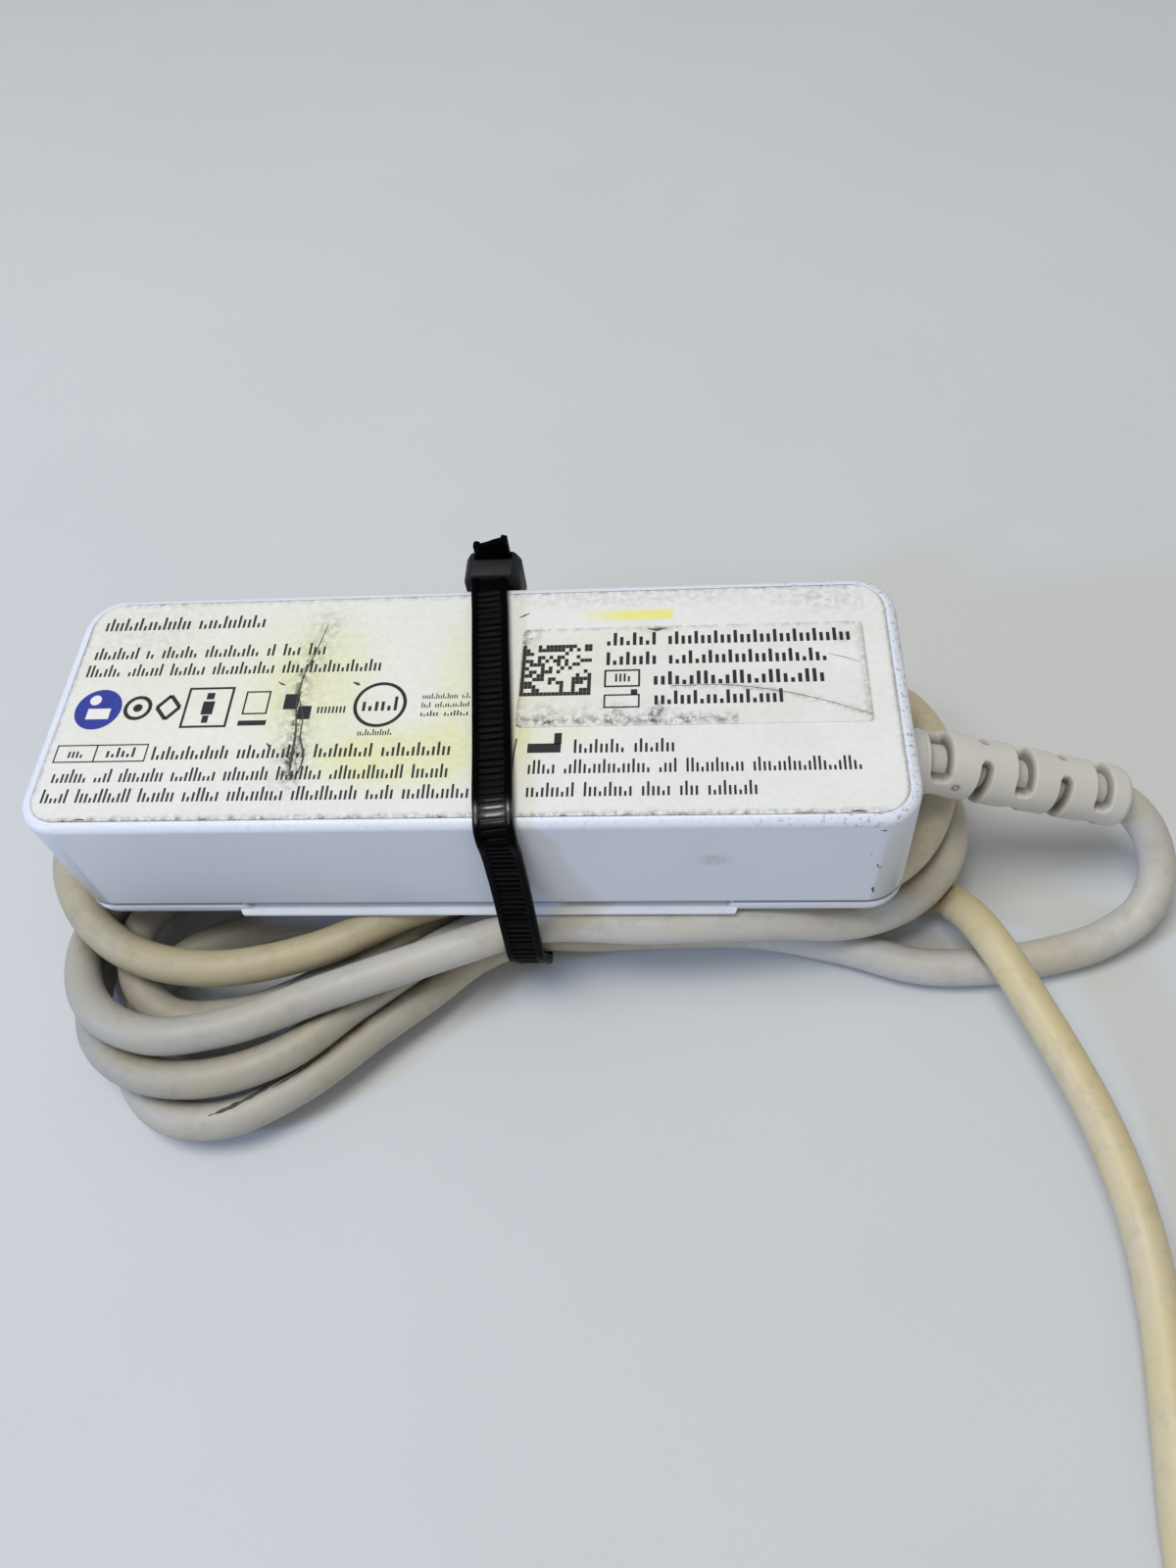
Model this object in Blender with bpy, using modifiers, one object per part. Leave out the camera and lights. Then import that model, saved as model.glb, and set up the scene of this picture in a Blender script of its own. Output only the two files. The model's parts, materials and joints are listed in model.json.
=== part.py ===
"""Interface box of a dental intraoral scanner, with its lead wound in a hank and tied under the case.

The model is in metres with +Z up. Z = 0 is the surface that the bundle rests on, X runs along the
case and the strain relief leaves its +X end. Sizes below are in millimetres and MM turns them into
metres.
"""

import math

import bmesh
import bpy
from mathutils import Matrix, Vector

MM = 0.001

# Case
CASE_LENGTH = 107.0
CASE_WIDTH = 35.7
CASE_HEIGHT = 22.5
CORNER_RADIUS = 5.1
EDGE_FILLET = 1.1
PARTING_HEIGHT = 2.87
WALL = 2.0
TOP_PLATE = 2.2
COVER_PLATE = 2.0
LIP_HEIGHT = 2.2
LIP_WALL = 1.2
GAP = 0.3
CORNER_STEPS = 7

# Labels
LABEL_END_INSET = 1.8
LABEL_SIDE_INSET = 1.55
LABEL_RADIUS = 3.4
LABEL_THICKNESS = 0.2
LABEL_MARGIN = 0.35
SERIAL_LENGTH = 42.4
SERIAL_WIDTH = 14.9
SERIAL_RADIUS = 0.8
SERIAL_THICKNESS = 0.12
SERIAL_END_INSET = 2.9
SERIAL_Y = 3.05

# Finger groove in the cover's front edge
GROOVE_LENGTH = 63.7
GROOVE_X = 0.45
GROOVE_HEIGHT = 2.1
GROOVE_DEPTH = 1.6
GROOVE_END_SLANT = 1.6

# Case screws and their pillars
SCREW_END_INSET = 7.7
SCREW_SIDE_INSET = 5.45
SCREW_SHANK = 2.4
SCREW_HEAD = 5.0
SCREW_HEAD_HEIGHT = 1.8
SCREW_LENGTH = 14.0
COVER_PILLAR = 6.2
SHELL_PILLAR = 7.6
PILLAR_JOINT = 11.6
DRIVE_WIDTH = 1.1
DRIVE_DEPTH = 0.9

# Main board
BOARD_END_GAP = 0.9
BOARD_CLAMP_GAP = 6.7
BOARD_SIDE_GAP = 1.55
BOARD_THICKNESS = 1.6
BOARD_HEIGHT = 6.3
POST_DIAMETER = 5.0
POST_LEFT_INSET = 21.6
POST_RIGHT_INSET = 13.5
POST_SIDE_INSET = 2.9
BOARD_SCREW_SHANK = 1.8
BOARD_SCREW_HEAD = 3.8
BOARD_SCREW_HEAD_HEIGHT = 1.4
BOARD_SCREW_LENGTH = 4.6

# Power socket in the end wall
JACK_Y = -4.2
JACK_WIDTH = 8.0
JACK_HEIGHT = 11.0
JACK_LENGTH = 13.6
JACK_SNOUT = 6.8
JACK_BORE = 5.5
JACK_BORE_DEPTH = 9.5
JACK_PIN = 2.0
JACK_PIN_LENGTH = 12.4

# Data socket in the end wall
DATA_Y = 4.6
DATA_WIDTH = 8.8
DATA_HEIGHT = 3.2
DATA_LENGTH = 9.0
DATA_WALL = 0.35
TONGUE_WIDTH = 6.4
TONGUE_THICKNESS = 0.7
TONGUE_LENGTH = 5.2

# Board components
CHIP_SIZE = 10.0
CHIP_HEIGHT = 1.2
CHIP_CRYSTAL_GAP = 1.3
CHIP_Y = 1.5
INDUCTOR_SIZE = 8.0
INDUCTOR_HEIGHT = 4.4
INDUCTOR_CAP_GAP = 1.5
INDUCTOR_Y = -4.5
CAP_DIAMETER = 6.3
CAP_HEIGHT = 7.2
CAP_JACK_GAP = 1.5
CAP_FRONT_Y = -4.0
CAP_BACK_Y = 3.5
CRYSTAL_LENGTH = 10.5
CRYSTAL_WIDTH = 4.4
CRYSTAL_HEIGHT = 3.4
CRYSTAL_HEADER_GAP = 5.0
CRYSTAL_Y = 2.0
FILTER_LENGTH = 4.5
FILTER_WIDTH = 3.2
FILTER_HEIGHT = 1.9
FILTER_Y = 5.0

# Header and plug that take the lead's wires
HEADER_LENGTH = 6.0
HEADER_WIDTH = 9.6
HEADER_HEIGHT = 5.0
HEADER_WALL = 0.8
HEADER_INSET = 8.5
PLUG_LENGTH = 5.6
PLUG_INSERTION = 3.0
WIRE_DIAMETER = 0.9
WIRE_PITCH = 1.8

# Strain relief on the end wall
RELIEF_Y = -1.8
RELIEF_HEIGHT = 9.5
RELIEF_REACH = 28.9
RELIEF_DROP = 9.3
RELIEF_BASE = 8.4
RELIEF_TIP = 8.0
RELIEF_NECK = 6.2
RELIEF_FLANGE = 9.6
FLANGE_THICKNESS = 1.5
SLOT_WIDTH = 1.4
SLOT_PITCH = 5.5
SLOT_FIRST = 4.1
SLOT_ROLL = 84.0
SLOT_COUNT = 5
SLOT_DEPTH = 1.95
SLOT_SPAN = 7.6

# Clamp over the lead inside the case
CLAMP_END_INSET = 7.3
CLAMP_WIDTH = 3.0
CLAMP_LENGTH = 12.8
CLAMP_TOP = 3.9
CLAMP_SCREW_Y = 4.9
CLAMP_SCREW_SHANK = 1.8
CLAMP_SCREW_HEAD = 3.4
CLAMP_SCREW_HEAD_HEIGHT = 1.3
CLAMP_SCREW_LENGTH = 7.6
CLAMP_BOSS = 4.4

# Lead
LEAD_DIAMETER = 4.7
HANK_LAYERS = 3
HANK_EDGE = 1.6
LEAD_INNER_LENGTH = 6.0
NEAR_STEP = 1.4
FAR_STEP = 2.0

# Cable tie
TIE_WIDTH = 4.7
TIE_THICKNESS = 1.2
TIE_HEAD_STAND = 4.95
TIE_HEAD_WIDTH = 7.4
TIE_HEAD_DEPTH = 4.5
TIE_HEAD_HEIGHT = 7.0
TIE_HEAD_LOW = 17.0
TIE_TAIL = 3.9
NOTCH_WIDTH = 6.2
RIB_PITCH = 1.28
POCKET_LENGTH = 0.72
POCKET_WIDTH = 2.9
POCKET_DEPTH = 0.45
POCKET_COUNT = 25
LADDER_START = 4.4

# Coil of the lead that lies beyond the bundle, and the plug at its end
COIL_X = 50.9
COIL_Y = -116.5
COIL_OUTER = 25.6
COIL_INNER = 11.2
COIL_LAYERS = 2
FAR_RELIEF_LENGTH = 12.0
FAR_RELIEF_BASE = 8.0
FAR_RELIEF_TIP = 6.4
FAR_BODY_DIAMETER = 11.6
FAR_BODY_LENGTH = 21.0
FAR_COLLAR_DIAMETER = 10.6
FAR_COLLAR_LENGTH = 5.0
FAR_SLEEVE_DIAMETER = 9.0
FAR_SLEEVE_LENGTH = 8.5
FAR_SLEEVE_WALL = 0.7

# Derived heights over the surface
LIFT = HANK_LAYERS * LEAD_DIAMETER + GAP
CASE_TOP = LIFT + CASE_HEIGHT
PARTING = LIFT + PARTING_HEIGHT
CEILING = CASE_TOP - TOP_PLATE
RECESS_DEPTH = LABEL_THICKNESS + GAP
BOARD_TOP = LIFT + BOARD_HEIGHT + BOARD_THICKNESS
SEAT = BOARD_TOP + GAP
END_X = CASE_LENGTH / 2
SIDE_Y = CASE_WIDTH / 2
CAVITY_X = END_X - WALL
CAVITY_Y = SIDE_Y - WALL
LEAD_Z = LIFT + RELIEF_HEIGHT
RELIEF_END_X = END_X + RELIEF_REACH
TIE_REACH = SIDE_Y + TIE_HEAD_STAND

# Derived places of what sits in and on the case
LABEL_LENGTH = CASE_LENGTH - 2 * LABEL_END_INSET
LABEL_WIDTH = CASE_WIDTH - 2 * LABEL_SIDE_INSET
SERIAL_X = LABEL_LENGTH / 2 - SERIAL_END_INSET - SERIAL_LENGTH / 2
SCREW_X = END_X - SCREW_END_INSET
SCREW_Y = SIDE_Y - SCREW_SIDE_INSET
CLAMP_X = END_X - CLAMP_END_INSET
BOARD_LEFT = BOARD_END_GAP - CAVITY_X
BOARD_RIGHT = CLAMP_X - BOARD_CLAMP_GAP
BOARD_WIDTH = 2 * (CAVITY_Y - BOARD_SIDE_GAP)
POST_LEFT_X = BOARD_LEFT + POST_LEFT_INSET
POST_RIGHT_X = BOARD_RIGHT - POST_RIGHT_INSET
POST_Y = BOARD_WIDTH / 2 - POST_SIDE_INSET
HEADER_X = BOARD_RIGHT - HEADER_INSET
CRYSTAL_X = HEADER_X - CRYSTAL_HEADER_GAP - CRYSTAL_LENGTH / 2
CHIP_X = CRYSTAL_X - CRYSTAL_LENGTH / 2 - CHIP_CRYSTAL_GAP - CHIP_SIZE / 2
CAP_X = GAP - CAVITY_X + JACK_LENGTH + CAP_JACK_GAP + CAP_DIAMETER / 2
INDUCTOR_X = CAP_X + CAP_DIAMETER / 2 + INDUCTOR_CAP_GAP + INDUCTOR_SIZE / 2

# Turns an outline drawn in X and Y, and raised along Z, so that it is raised along X instead
ALONG_X = Matrix(((0.0, 0.0, 1.0, 0.0), (1.0, 0.0, 0.0, 0.0), (0.0, 1.0, 0.0, 0.0), (0.0, 0.0, 0.0, 1.0)))

# Route of the lead, chosen along its middle: from the strain relief to the hank, and from the hank
# to the coil
NEAR_ROUTE = (
    (RELIEF_END_X + 1.9, -2.9, 13.0),
    (RELIEF_END_X + 4.4, -5.4, 10.2),
    (RELIEF_END_X + 5.2, -9.2, 7.0),
    (RELIEF_END_X + 3.3, -13.0, 4.4),
    (81.0, -16.0, 2.8),
    (71.7, -18.9, 2.4),
    (63.6, -20.1, 2.4),
    (58.2, -20.0, 2.4),
)
FAR_ROUTE = (
    (63.4, -15.6, 6.7),
    (65.6, -20.6, 7.9),
    (68.0, -26.2, 7.9),
    (70.9, -33.0, 7.4),
    (74.0, -41.4, 6.5),
    (76.0, -51.0, 5.4),
    (76.3, -61.0, 4.2),
    (75.5, -70.0, 3.3),
    (74.4, -80.0, 2.6),
    (74.0, -91.0, 2.45),
    (74.1, -100.7, 2.45),
)
END_ROUTE = (
    (35.3, -139.8, 7.0),
    (29.0, -139.9, 6.4),
    (24.0, -140.0, 6.0),
    (18.0, -140.0, 5.9),
)

# Outline of the hank seen from above, through the outer sides of its strands
HANK_OUTLINE = (
    (1.5, -21.1),
    (8.5, -21.1),
    (18.0, -21.4),
    (34.0, -20.8),
    (47.0, -18.8),
    (56.0, -16.6),
    (61.0, -12.8),
    (63.7, -6.0),
    (63.9, 2.0),
    (62.6, 11.0),
    (57.5, 18.0),
    (49.0, 19.2),
    (38.0, 14.6),
    (26.0, 7.4),
    (15.0, 1.6),
    (5.0, -0.6),
    (-8.0, 2.4),
    (-22.0, 6.6),
    (-38.0, 9.2),
    (-51.0, 7.8),
    (-59.2, 1.6),
    (-61.5, -8.6),
    (-58.6, -18.6),
    (-54.4, -29.6),
    (-47.4, -38.4),
    (-38.6, -43.2),
    (-30.6, -43.3),
    (-22.0, -38.6),
    (-11.0, -30.0),
    (-3.5, -24.0),
)

for item in list(bpy.data.objects):
    bpy.data.objects.remove(item, do_unlink=True)

parts = bpy.data.collections.new("scanner_interface_box")
cutters = bpy.data.collections.new("cutters")
bpy.context.scene.collection.children.link(parts)
bpy.context.scene.collection.children.link(cutters)


def material(name, colour, roughness, metallic=0.0):
    """A Principled material with one colour, given as linear red, green and blue."""
    made = bpy.data.materials.new(name)
    made.use_nodes = True
    shader = made.node_tree.nodes["Principled BSDF"]
    shader.inputs["Base Color"].default_value = (*colour, 1.0)
    shader.inputs["Roughness"].default_value = roughness
    shader.inputs["Metallic"].default_value = metallic
    made.diffuse_color = (*colour, 1.0)
    return made


def place(name, bm, look):
    """A new object in the parts collection from a bmesh whose points are in millimetres."""
    bmesh.ops.scale(bm, vec=(MM, MM, MM), verts=bm.verts)
    bmesh.ops.recalc_face_normals(bm, faces=bm.faces)
    mesh = bpy.data.meshes.new(name)
    bm.to_mesh(mesh)
    bm.free()
    made = bpy.data.objects.new(name, mesh)
    if look is None:
        cutters.objects.link(made)
        made.hide_render = True
        made.display_type = "WIRE"
    else:
        parts.objects.link(made)
        mesh.materials.append(look)
    return made


def block(name, size, centre, look, radius=0.0, turn=None):
    """A box of the given size round its centre, with rounded edges where radius is given."""
    bm = bmesh.new()
    where = Matrix.Translation(centre) @ (turn or Matrix.Identity(4)) @ Matrix.Diagonal((*size, 1.0))
    bmesh.ops.create_cube(bm, size=1.0, matrix=where)
    if radius:
        bmesh.ops.bevel(bm, geom=bm.edges[:], offset=radius, segments=2, affect="EDGES", profile=0.5)
    return place(name, bm, look)


def rod(name, diameter, start, end, look, tip=None, sides=24):
    """A round bar from one point to another, tapering to the tip's diameter where it is given."""
    start = Vector(start)
    run = Vector(end) - start
    bm = bmesh.new()
    turn = Vector((0.0, 0.0, 1.0)).rotation_difference(run).to_matrix().to_4x4()
    bmesh.ops.create_cone(
        bm,
        cap_ends=True,
        segments=sides,
        radius1=diameter / 2,
        radius2=(tip or diameter) / 2,
        depth=run.length,
        matrix=Matrix.Translation(start + run / 2) @ turn,
    )
    made = place(name, bm, look)
    round_shading(made)
    return made


def round_shading(made):
    made.data.shade_smooth()
    made.data.set_sharp_from_angle(angle=math.radians(38))


def rounded_rectangle(length, width, radius, centre_x=0.0, centre_y=0.0):
    """Points of a rectangle with round corners, anticlockwise."""
    points = []
    for quarter, (side_x, side_y) in enumerate(((1, 1), (-1, 1), (-1, -1), (1, -1))):
        for step in range(CORNER_STEPS + 1):
            angle = math.radians(90 * (quarter + step / CORNER_STEPS))
            points.append(
                (
                    centre_x + side_x * (length / 2 - radius) + radius * math.cos(angle),
                    centre_y + side_y * (width / 2 - radius) + radius * math.sin(angle),
                )
            )
    return points


def mesh_of_curve(name, curve, look):
    """The mesh that a curve makes, its caps welded, as an object in place of the curve."""
    guide = bpy.data.objects.new(name + "_curve", curve)
    cutters.objects.link(guide)
    bpy.context.view_layer.update()
    graph = bpy.context.evaluated_depsgraph_get()
    mesh = bpy.data.meshes.new_from_object(guide.evaluated_get(graph))
    bm = bmesh.new()
    bm.from_mesh(mesh)
    bmesh.ops.remove_doubles(bm, verts=bm.verts, dist=0.001 * MM)
    bmesh.ops.scale(bm, vec=(1 / MM, 1 / MM, 1 / MM), verts=bm.verts)
    bpy.data.objects.remove(guide, do_unlink=True)
    bpy.data.meshes.remove(mesh)
    return place(name, bm, look)


def extruded(name, outline, low, high, look):
    """A flat outline raised from one height to another, as a filled 2D curve with an extrude."""
    curve = bpy.data.curves.new(name, "CURVE")
    curve.dimensions = "2D"
    curve.fill_mode = "BOTH"
    curve.extrude = (high - low) / 2 * MM
    spline = curve.splines.new("POLY")
    spline.points.add(len(outline) - 1)
    for point, (x, y) in zip(spline.points, outline):
        point.co = (x * MM, y * MM, 0.0, 1.0)
    spline.use_cyclic_u = True
    made = mesh_of_curve(name, curve, look)
    made.data.transform(Matrix.Translation((0.0, 0.0, (low + high) / 2 * MM)))
    return made


def round_rim(made, height, radius, segments):
    """Rounds the outer edges of an extruded piece that lie at one height."""
    bm = bmesh.new()
    bm.from_mesh(made.data)
    level = height * MM
    rim = [
        edge
        for edge in bm.edges
        if all(abs(v.co.z - level) < 1e-6 for v in edge.verts)
        and any(abs(face.normal.z) < 0.5 for face in edge.link_faces)
    ]
    bmesh.ops.bevel(bm, geom=rim, offset=radius * MM, segments=segments, affect="EDGES", profile=0.5)
    bm.to_mesh(made.data)
    bm.free()


def tube(name, points, diameters, look, resolution=3):
    """A round curve through the points, with the diameter given at each of them."""
    curve = bpy.data.curves.new(name, "CURVE")
    curve.dimensions = "3D"
    curve.bevel_depth = MM
    curve.bevel_resolution = resolution
    curve.use_fill_caps = True
    spline = curve.splines.new("POLY")
    spline.points.add(len(points) - 1)
    for point, where, diameter in zip(spline.points, points, diameters):
        point.co = (*(Vector(where) * MM), 1.0)
        point.radius = diameter / 2
    made = mesh_of_curve(name, curve, look)
    round_shading(made)
    return made


def turned(name, profile, centre, look, steps=40):
    """A ring turned round a vertical axis from a closed profile of (radius, height) points."""
    bm = bmesh.new()
    corners = [bm.verts.new((radius * MM, 0.0, height * MM)) for radius, height in profile]
    for first, second in zip(corners, corners[1:] + corners[:1]):
        bm.edges.new((first, second))
    mesh = bpy.data.meshes.new(name)
    bm.to_mesh(mesh)
    bm.free()
    mesh.materials.append(look)
    made = bpy.data.objects.new(name, mesh)
    made.location = Vector(centre) * MM
    parts.objects.link(made)
    screw = made.modifiers.new("turn", "SCREW")
    screw.axis = "Z"
    screw.steps = steps
    screw.render_steps = steps
    screw.use_merge_vertices = True
    screw.merge_threshold = 0.00001
    screw.use_smooth_shade = True
    return made


def combine(made, other, operation, solver="EXACT"):
    change = made.modifiers.new(other.name, "BOOLEAN")
    change.operation = operation
    change.solver = solver
    change.object = other


def cut(made, *tools):
    for tool in tools:
        combine(made, tool, "DIFFERENCE")


def join(made, *others):
    for other in others:
        combine(made, other, "UNION")


def smooth_path(route, per_span=24):
    """A smooth curve through route points, with tangents weighted by the spans on either side."""
    spots = [Vector(point) for point in route]
    spans = [(b - a).length for a, b in zip(spots, spots[1:])]
    tangents = [(spots[1] - spots[0]) / spans[0]]
    for index in range(1, len(spots) - 1):
        before, after = spans[index - 1], spans[index]
        slope_in = (spots[index] - spots[index - 1]) / before
        slope_out = (spots[index + 1] - spots[index]) / after
        tangents.append((slope_in * after + slope_out * before) / (before + after))
    tangents.append((spots[-1] - spots[-2]) / spans[-1])
    path = []
    for index, span in enumerate(spans):
        for step in range(per_span):
            u = step / per_span
            path.append(
                spots[index] * (2 * u**3 - 3 * u**2 + 1)
                + tangents[index] * span * (u**3 - 2 * u**2 + u)
                + spots[index + 1] * (3 * u**2 - 2 * u**3)
                + tangents[index + 1] * span * (u**3 - u**2)
            )
    path.append(spots[-1])
    return path


def spaced(path, step):
    """Points at even distances of about one step along a fine path, both ends included."""
    marks = [0.0]
    for a, b in zip(path, path[1:]):
        marks.append(marks[-1] + (b - a).length)
    count = max(2, round(marks[-1] / step))
    wanted = [marks[-1] * index / count for index in range(count + 1)]
    points = []
    index = 0
    for mark in wanted:
        while index < len(path) - 2 and marks[index + 1] < mark:
            index += 1
        share = (mark - marks[index]) / (marks[index + 1] - marks[index])
        points.append(path[index].lerp(path[index + 1], share))
    return points


white_abs = material("white_abs", (0.78, 0.80, 0.82), 0.42)
label_film = material("label_film", (0.76, 0.75, 0.68), 0.5)
serial_film = material("serial_film", (0.70, 0.69, 0.60), 0.45)
grey_tpe = material("grey_tpe", (0.48, 0.45, 0.41), 0.6)
grey_lead = material("grey_lead", (0.46, 0.43, 0.35), 0.5)
black_nylon = material("black_nylon", (0.012, 0.012, 0.013), 0.35)
green_board = material("green_board", (0.03, 0.16, 0.07), 0.45)
black_plastic = material("black_plastic", (0.02, 0.02, 0.022), 0.5)
ivory_nylon = material("ivory_nylon", (0.72, 0.68, 0.55), 0.5)
nickel = material("nickel", (0.62, 0.60, 0.56), 0.3, 1.0)
steel = material("steel", (0.45, 0.45, 0.46), 0.35, 1.0)
copper_red = material("red_wire", (0.45, 0.03, 0.02), 0.5)
wire_black = material("black_wire", (0.015, 0.015, 0.015), 0.5)
wire_green = material("green_wire", (0.03, 0.25, 0.06), 0.5)
wire_white = material("white_wire", (0.75, 0.75, 0.72), 0.5)

# Label-side shell: a deep tray, open downwards, with a shallow recess for the label
shell = extruded(
    "label_side_shell",
    rounded_rectangle(CASE_LENGTH, CASE_WIDTH, CORNER_RADIUS),
    PARTING + GAP / 2,
    CASE_TOP,
    white_abs,
)
round_rim(shell, CASE_TOP, EDGE_FILLET, 3)
cavity = extruded(
    "shell_cavity",
    rounded_rectangle(2 * CAVITY_X, 2 * CAVITY_Y, CORNER_RADIUS - WALL),
    LIFT,
    CEILING,
    None,
)
recess = extruded(
    "label_recess",
    rounded_rectangle(
        LABEL_LENGTH + 2 * LABEL_MARGIN, LABEL_WIDTH + 2 * LABEL_MARGIN, LABEL_RADIUS + LABEL_MARGIN
    ),
    CASE_TOP - RECESS_DEPTH,
    CASE_TOP + 1.0,
    None,
)
cut(shell, cavity, recess)

# Cover shell: the flat cover with its band and an inner lip
cover = extruded(
    "cover_shell",
    rounded_rectangle(CASE_LENGTH, CASE_WIDTH, CORNER_RADIUS),
    LIFT,
    PARTING - GAP / 2,
    white_abs,
)
round_rim(cover, LIFT, EDGE_FILLET, 3)
lip = extruded(
    "cover_lip",
    rounded_rectangle(2 * (CAVITY_X - GAP), 2 * (CAVITY_Y - GAP), CORNER_RADIUS - WALL - GAP),
    LIFT + COVER_PLATE / 2,
    PARTING + LIP_HEIGHT,
    None,
)
tray = extruded(
    "cover_tray",
    rounded_rectangle(
        2 * (CAVITY_X - GAP - LIP_WALL), 2 * (CAVITY_Y - GAP - LIP_WALL), CORNER_RADIUS - WALL - GAP - LIP_WALL / 2
    ),
    LIFT + COVER_PLATE,
    CEILING,
    None,
)
join(cover, lip)
cut(cover, tray)

# Finger groove: a sloped cut with slanted ends along the front of the cover's band
bm = bmesh.new()
half = GROOVE_LENGTH / 2
groove_top = PARTING + GAP / 2
groove_low = groove_top - GROOVE_HEIGHT - GAP
for end, slant in ((-1, GROOVE_END_SLANT), (1, GROOVE_END_SLANT)):
    bm.verts.new((GROOVE_X + end * half, -SIDE_Y + GROOVE_DEPTH, groove_top))
    bm.verts.new((GROOVE_X + end * half, -SIDE_Y - 1.0, groove_top))
    bm.verts.new((GROOVE_X + end * (half - slant), -SIDE_Y - 1.0, groove_low))
    bm.verts.new((GROOVE_X + end * (half - slant), -SIDE_Y, groove_low))
bmesh.ops.convex_hull(bm, input=bm.verts)
groove = place("finger_groove", bm, None)
cut(cover, groove)

# Slot for the strain relief in the shell's end wall, and the cover's tab that closes it
slot_width = RELIEF_NECK + 2.4 * GAP
relief_slot = block(
    "relief_slot",
    (3 * WALL, slot_width, LEAD_Z - LIFT),
    (END_X - WALL / 2, RELIEF_Y, LIFT + (LEAD_Z - LIFT) / 2),
    None,
)
relief_arch = rod(
    "relief_arch",
    slot_width,
    (END_X - 2 * WALL, RELIEF_Y, LEAD_Z),
    (END_X + 2 * WALL, RELIEF_Y, LEAD_Z),
    None,
)
flange_pocket = block(
    "flange_pocket",
    (WALL + LIP_WALL + 2 * GAP, RELIEF_FLANGE + 2 * GAP, CASE_HEIGHT),
    (CAVITY_X - GAP - (LIP_WALL + WALL) / 2 + GAP, RELIEF_Y, PARTING + CASE_HEIGHT / 2 - GAP),
    None,
)
cut(shell, relief_slot, relief_arch)
tab_top = LEAD_Z - RELIEF_NECK / 2 - GAP
tab = block(
    "cover_tab",
    (WALL - GAP, RELIEF_NECK, tab_top - LIFT - COVER_PLATE / 2),
    (END_X - (WALL - GAP) / 2, RELIEF_Y, (tab_top + LIFT + COVER_PLATE / 2) / 2),
    None,
)
neck_saddle = rod(
    "neck_saddle",
    slot_width,
    (END_X - 2 * WALL, RELIEF_Y, LEAD_Z),
    (END_X + 2 * WALL, RELIEF_Y, LEAD_Z),
    None,
)
cut(cover, flange_pocket)
join(cover, tab)
cut(cover, neck_saddle)

# Screw pillars: the cover's carry the threads, the shell's the counterbored heads
head_seat = CASE_TOP - RECESS_DEPTH - SCREW_HEAD_HEIGHT - 2 * GAP
for end_name, end in (("left", -1), ("right", 1)):
    for side_name, side in (("front", -1), ("back", 1)):
        mark = f"{end_name}_{side_name}"
        x = end * SCREW_X
        y = side * SCREW_Y
        low = rod(
            f"cover_pillar_{mark}", COVER_PILLAR, (x, y, LIFT + COVER_PLATE / 2), (x, y, LIFT + PILLAR_JOINT), None
        )
        high = rod(
            f"shell_pillar_{mark}",
            SHELL_PILLAR,
            (x, y, LIFT + PILLAR_JOINT + GAP),
            (x, y, CEILING + TOP_PLATE / 4),
            None,
        )
        pilot = rod(
            f"screw_hole_{mark}",
            SCREW_SHANK + 2 * GAP,
            (x, y, head_seat - SCREW_LENGTH - 1.0),
            (x, y, CASE_TOP + 1.0),
            None,
            sides=16,
        )
        counterbore = rod(
            f"counterbore_{mark}",
            SCREW_HEAD + 2 * GAP,
            (x, y, head_seat),
            (x, y, CASE_TOP + 1.0),
            None,
        )
        join(cover, low)
        cut(cover, pilot)
        join(shell, high)
        cut(shell, pilot, counterbore)
        head_low = head_seat + GAP
        shank = rod(
            f"case_screw_{mark}",
            SCREW_SHANK,
            (x, y, head_low - SCREW_LENGTH),
            (x, y, head_low + SCREW_HEAD_HEIGHT / 2),
            steel,
            sides=12,
        )
        head = rod(
            f"case_screw_head_{mark}",
            SCREW_HEAD,
            (x, y, head_low),
            (x, y, head_low + SCREW_HEAD_HEIGHT),
            None,
            sides=20,
        )
        drive = block(
            f"case_screw_drive_{mark}",
            (3 * DRIVE_WIDTH, DRIVE_WIDTH, 2 * DRIVE_DEPTH),
            (x, y, head_low + SCREW_HEAD_HEIGHT),
            None,
        )
        cross = block(
            f"case_screw_cross_{mark}",
            (DRIVE_WIDTH, 3 * DRIVE_WIDTH, 2 * DRIVE_DEPTH),
            (x, y, head_low + SCREW_HEAD_HEIGHT),
            None,
        )
        join(shank, head)
        cut(shank, drive, cross)

# Labels on the case's top
rating = extruded(
    "rating_label",
    rounded_rectangle(LABEL_LENGTH, LABEL_WIDTH, LABEL_RADIUS),
    CASE_TOP - LABEL_THICKNESS,
    CASE_TOP,
    label_film,
)
serial = extruded(
    "serial_label",
    rounded_rectangle(SERIAL_LENGTH, SERIAL_WIDTH, SERIAL_RADIUS, SERIAL_X, SERIAL_Y),
    CASE_TOP + GAP,
    CASE_TOP + GAP + SERIAL_THICKNESS,
    serial_film,
)

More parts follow.
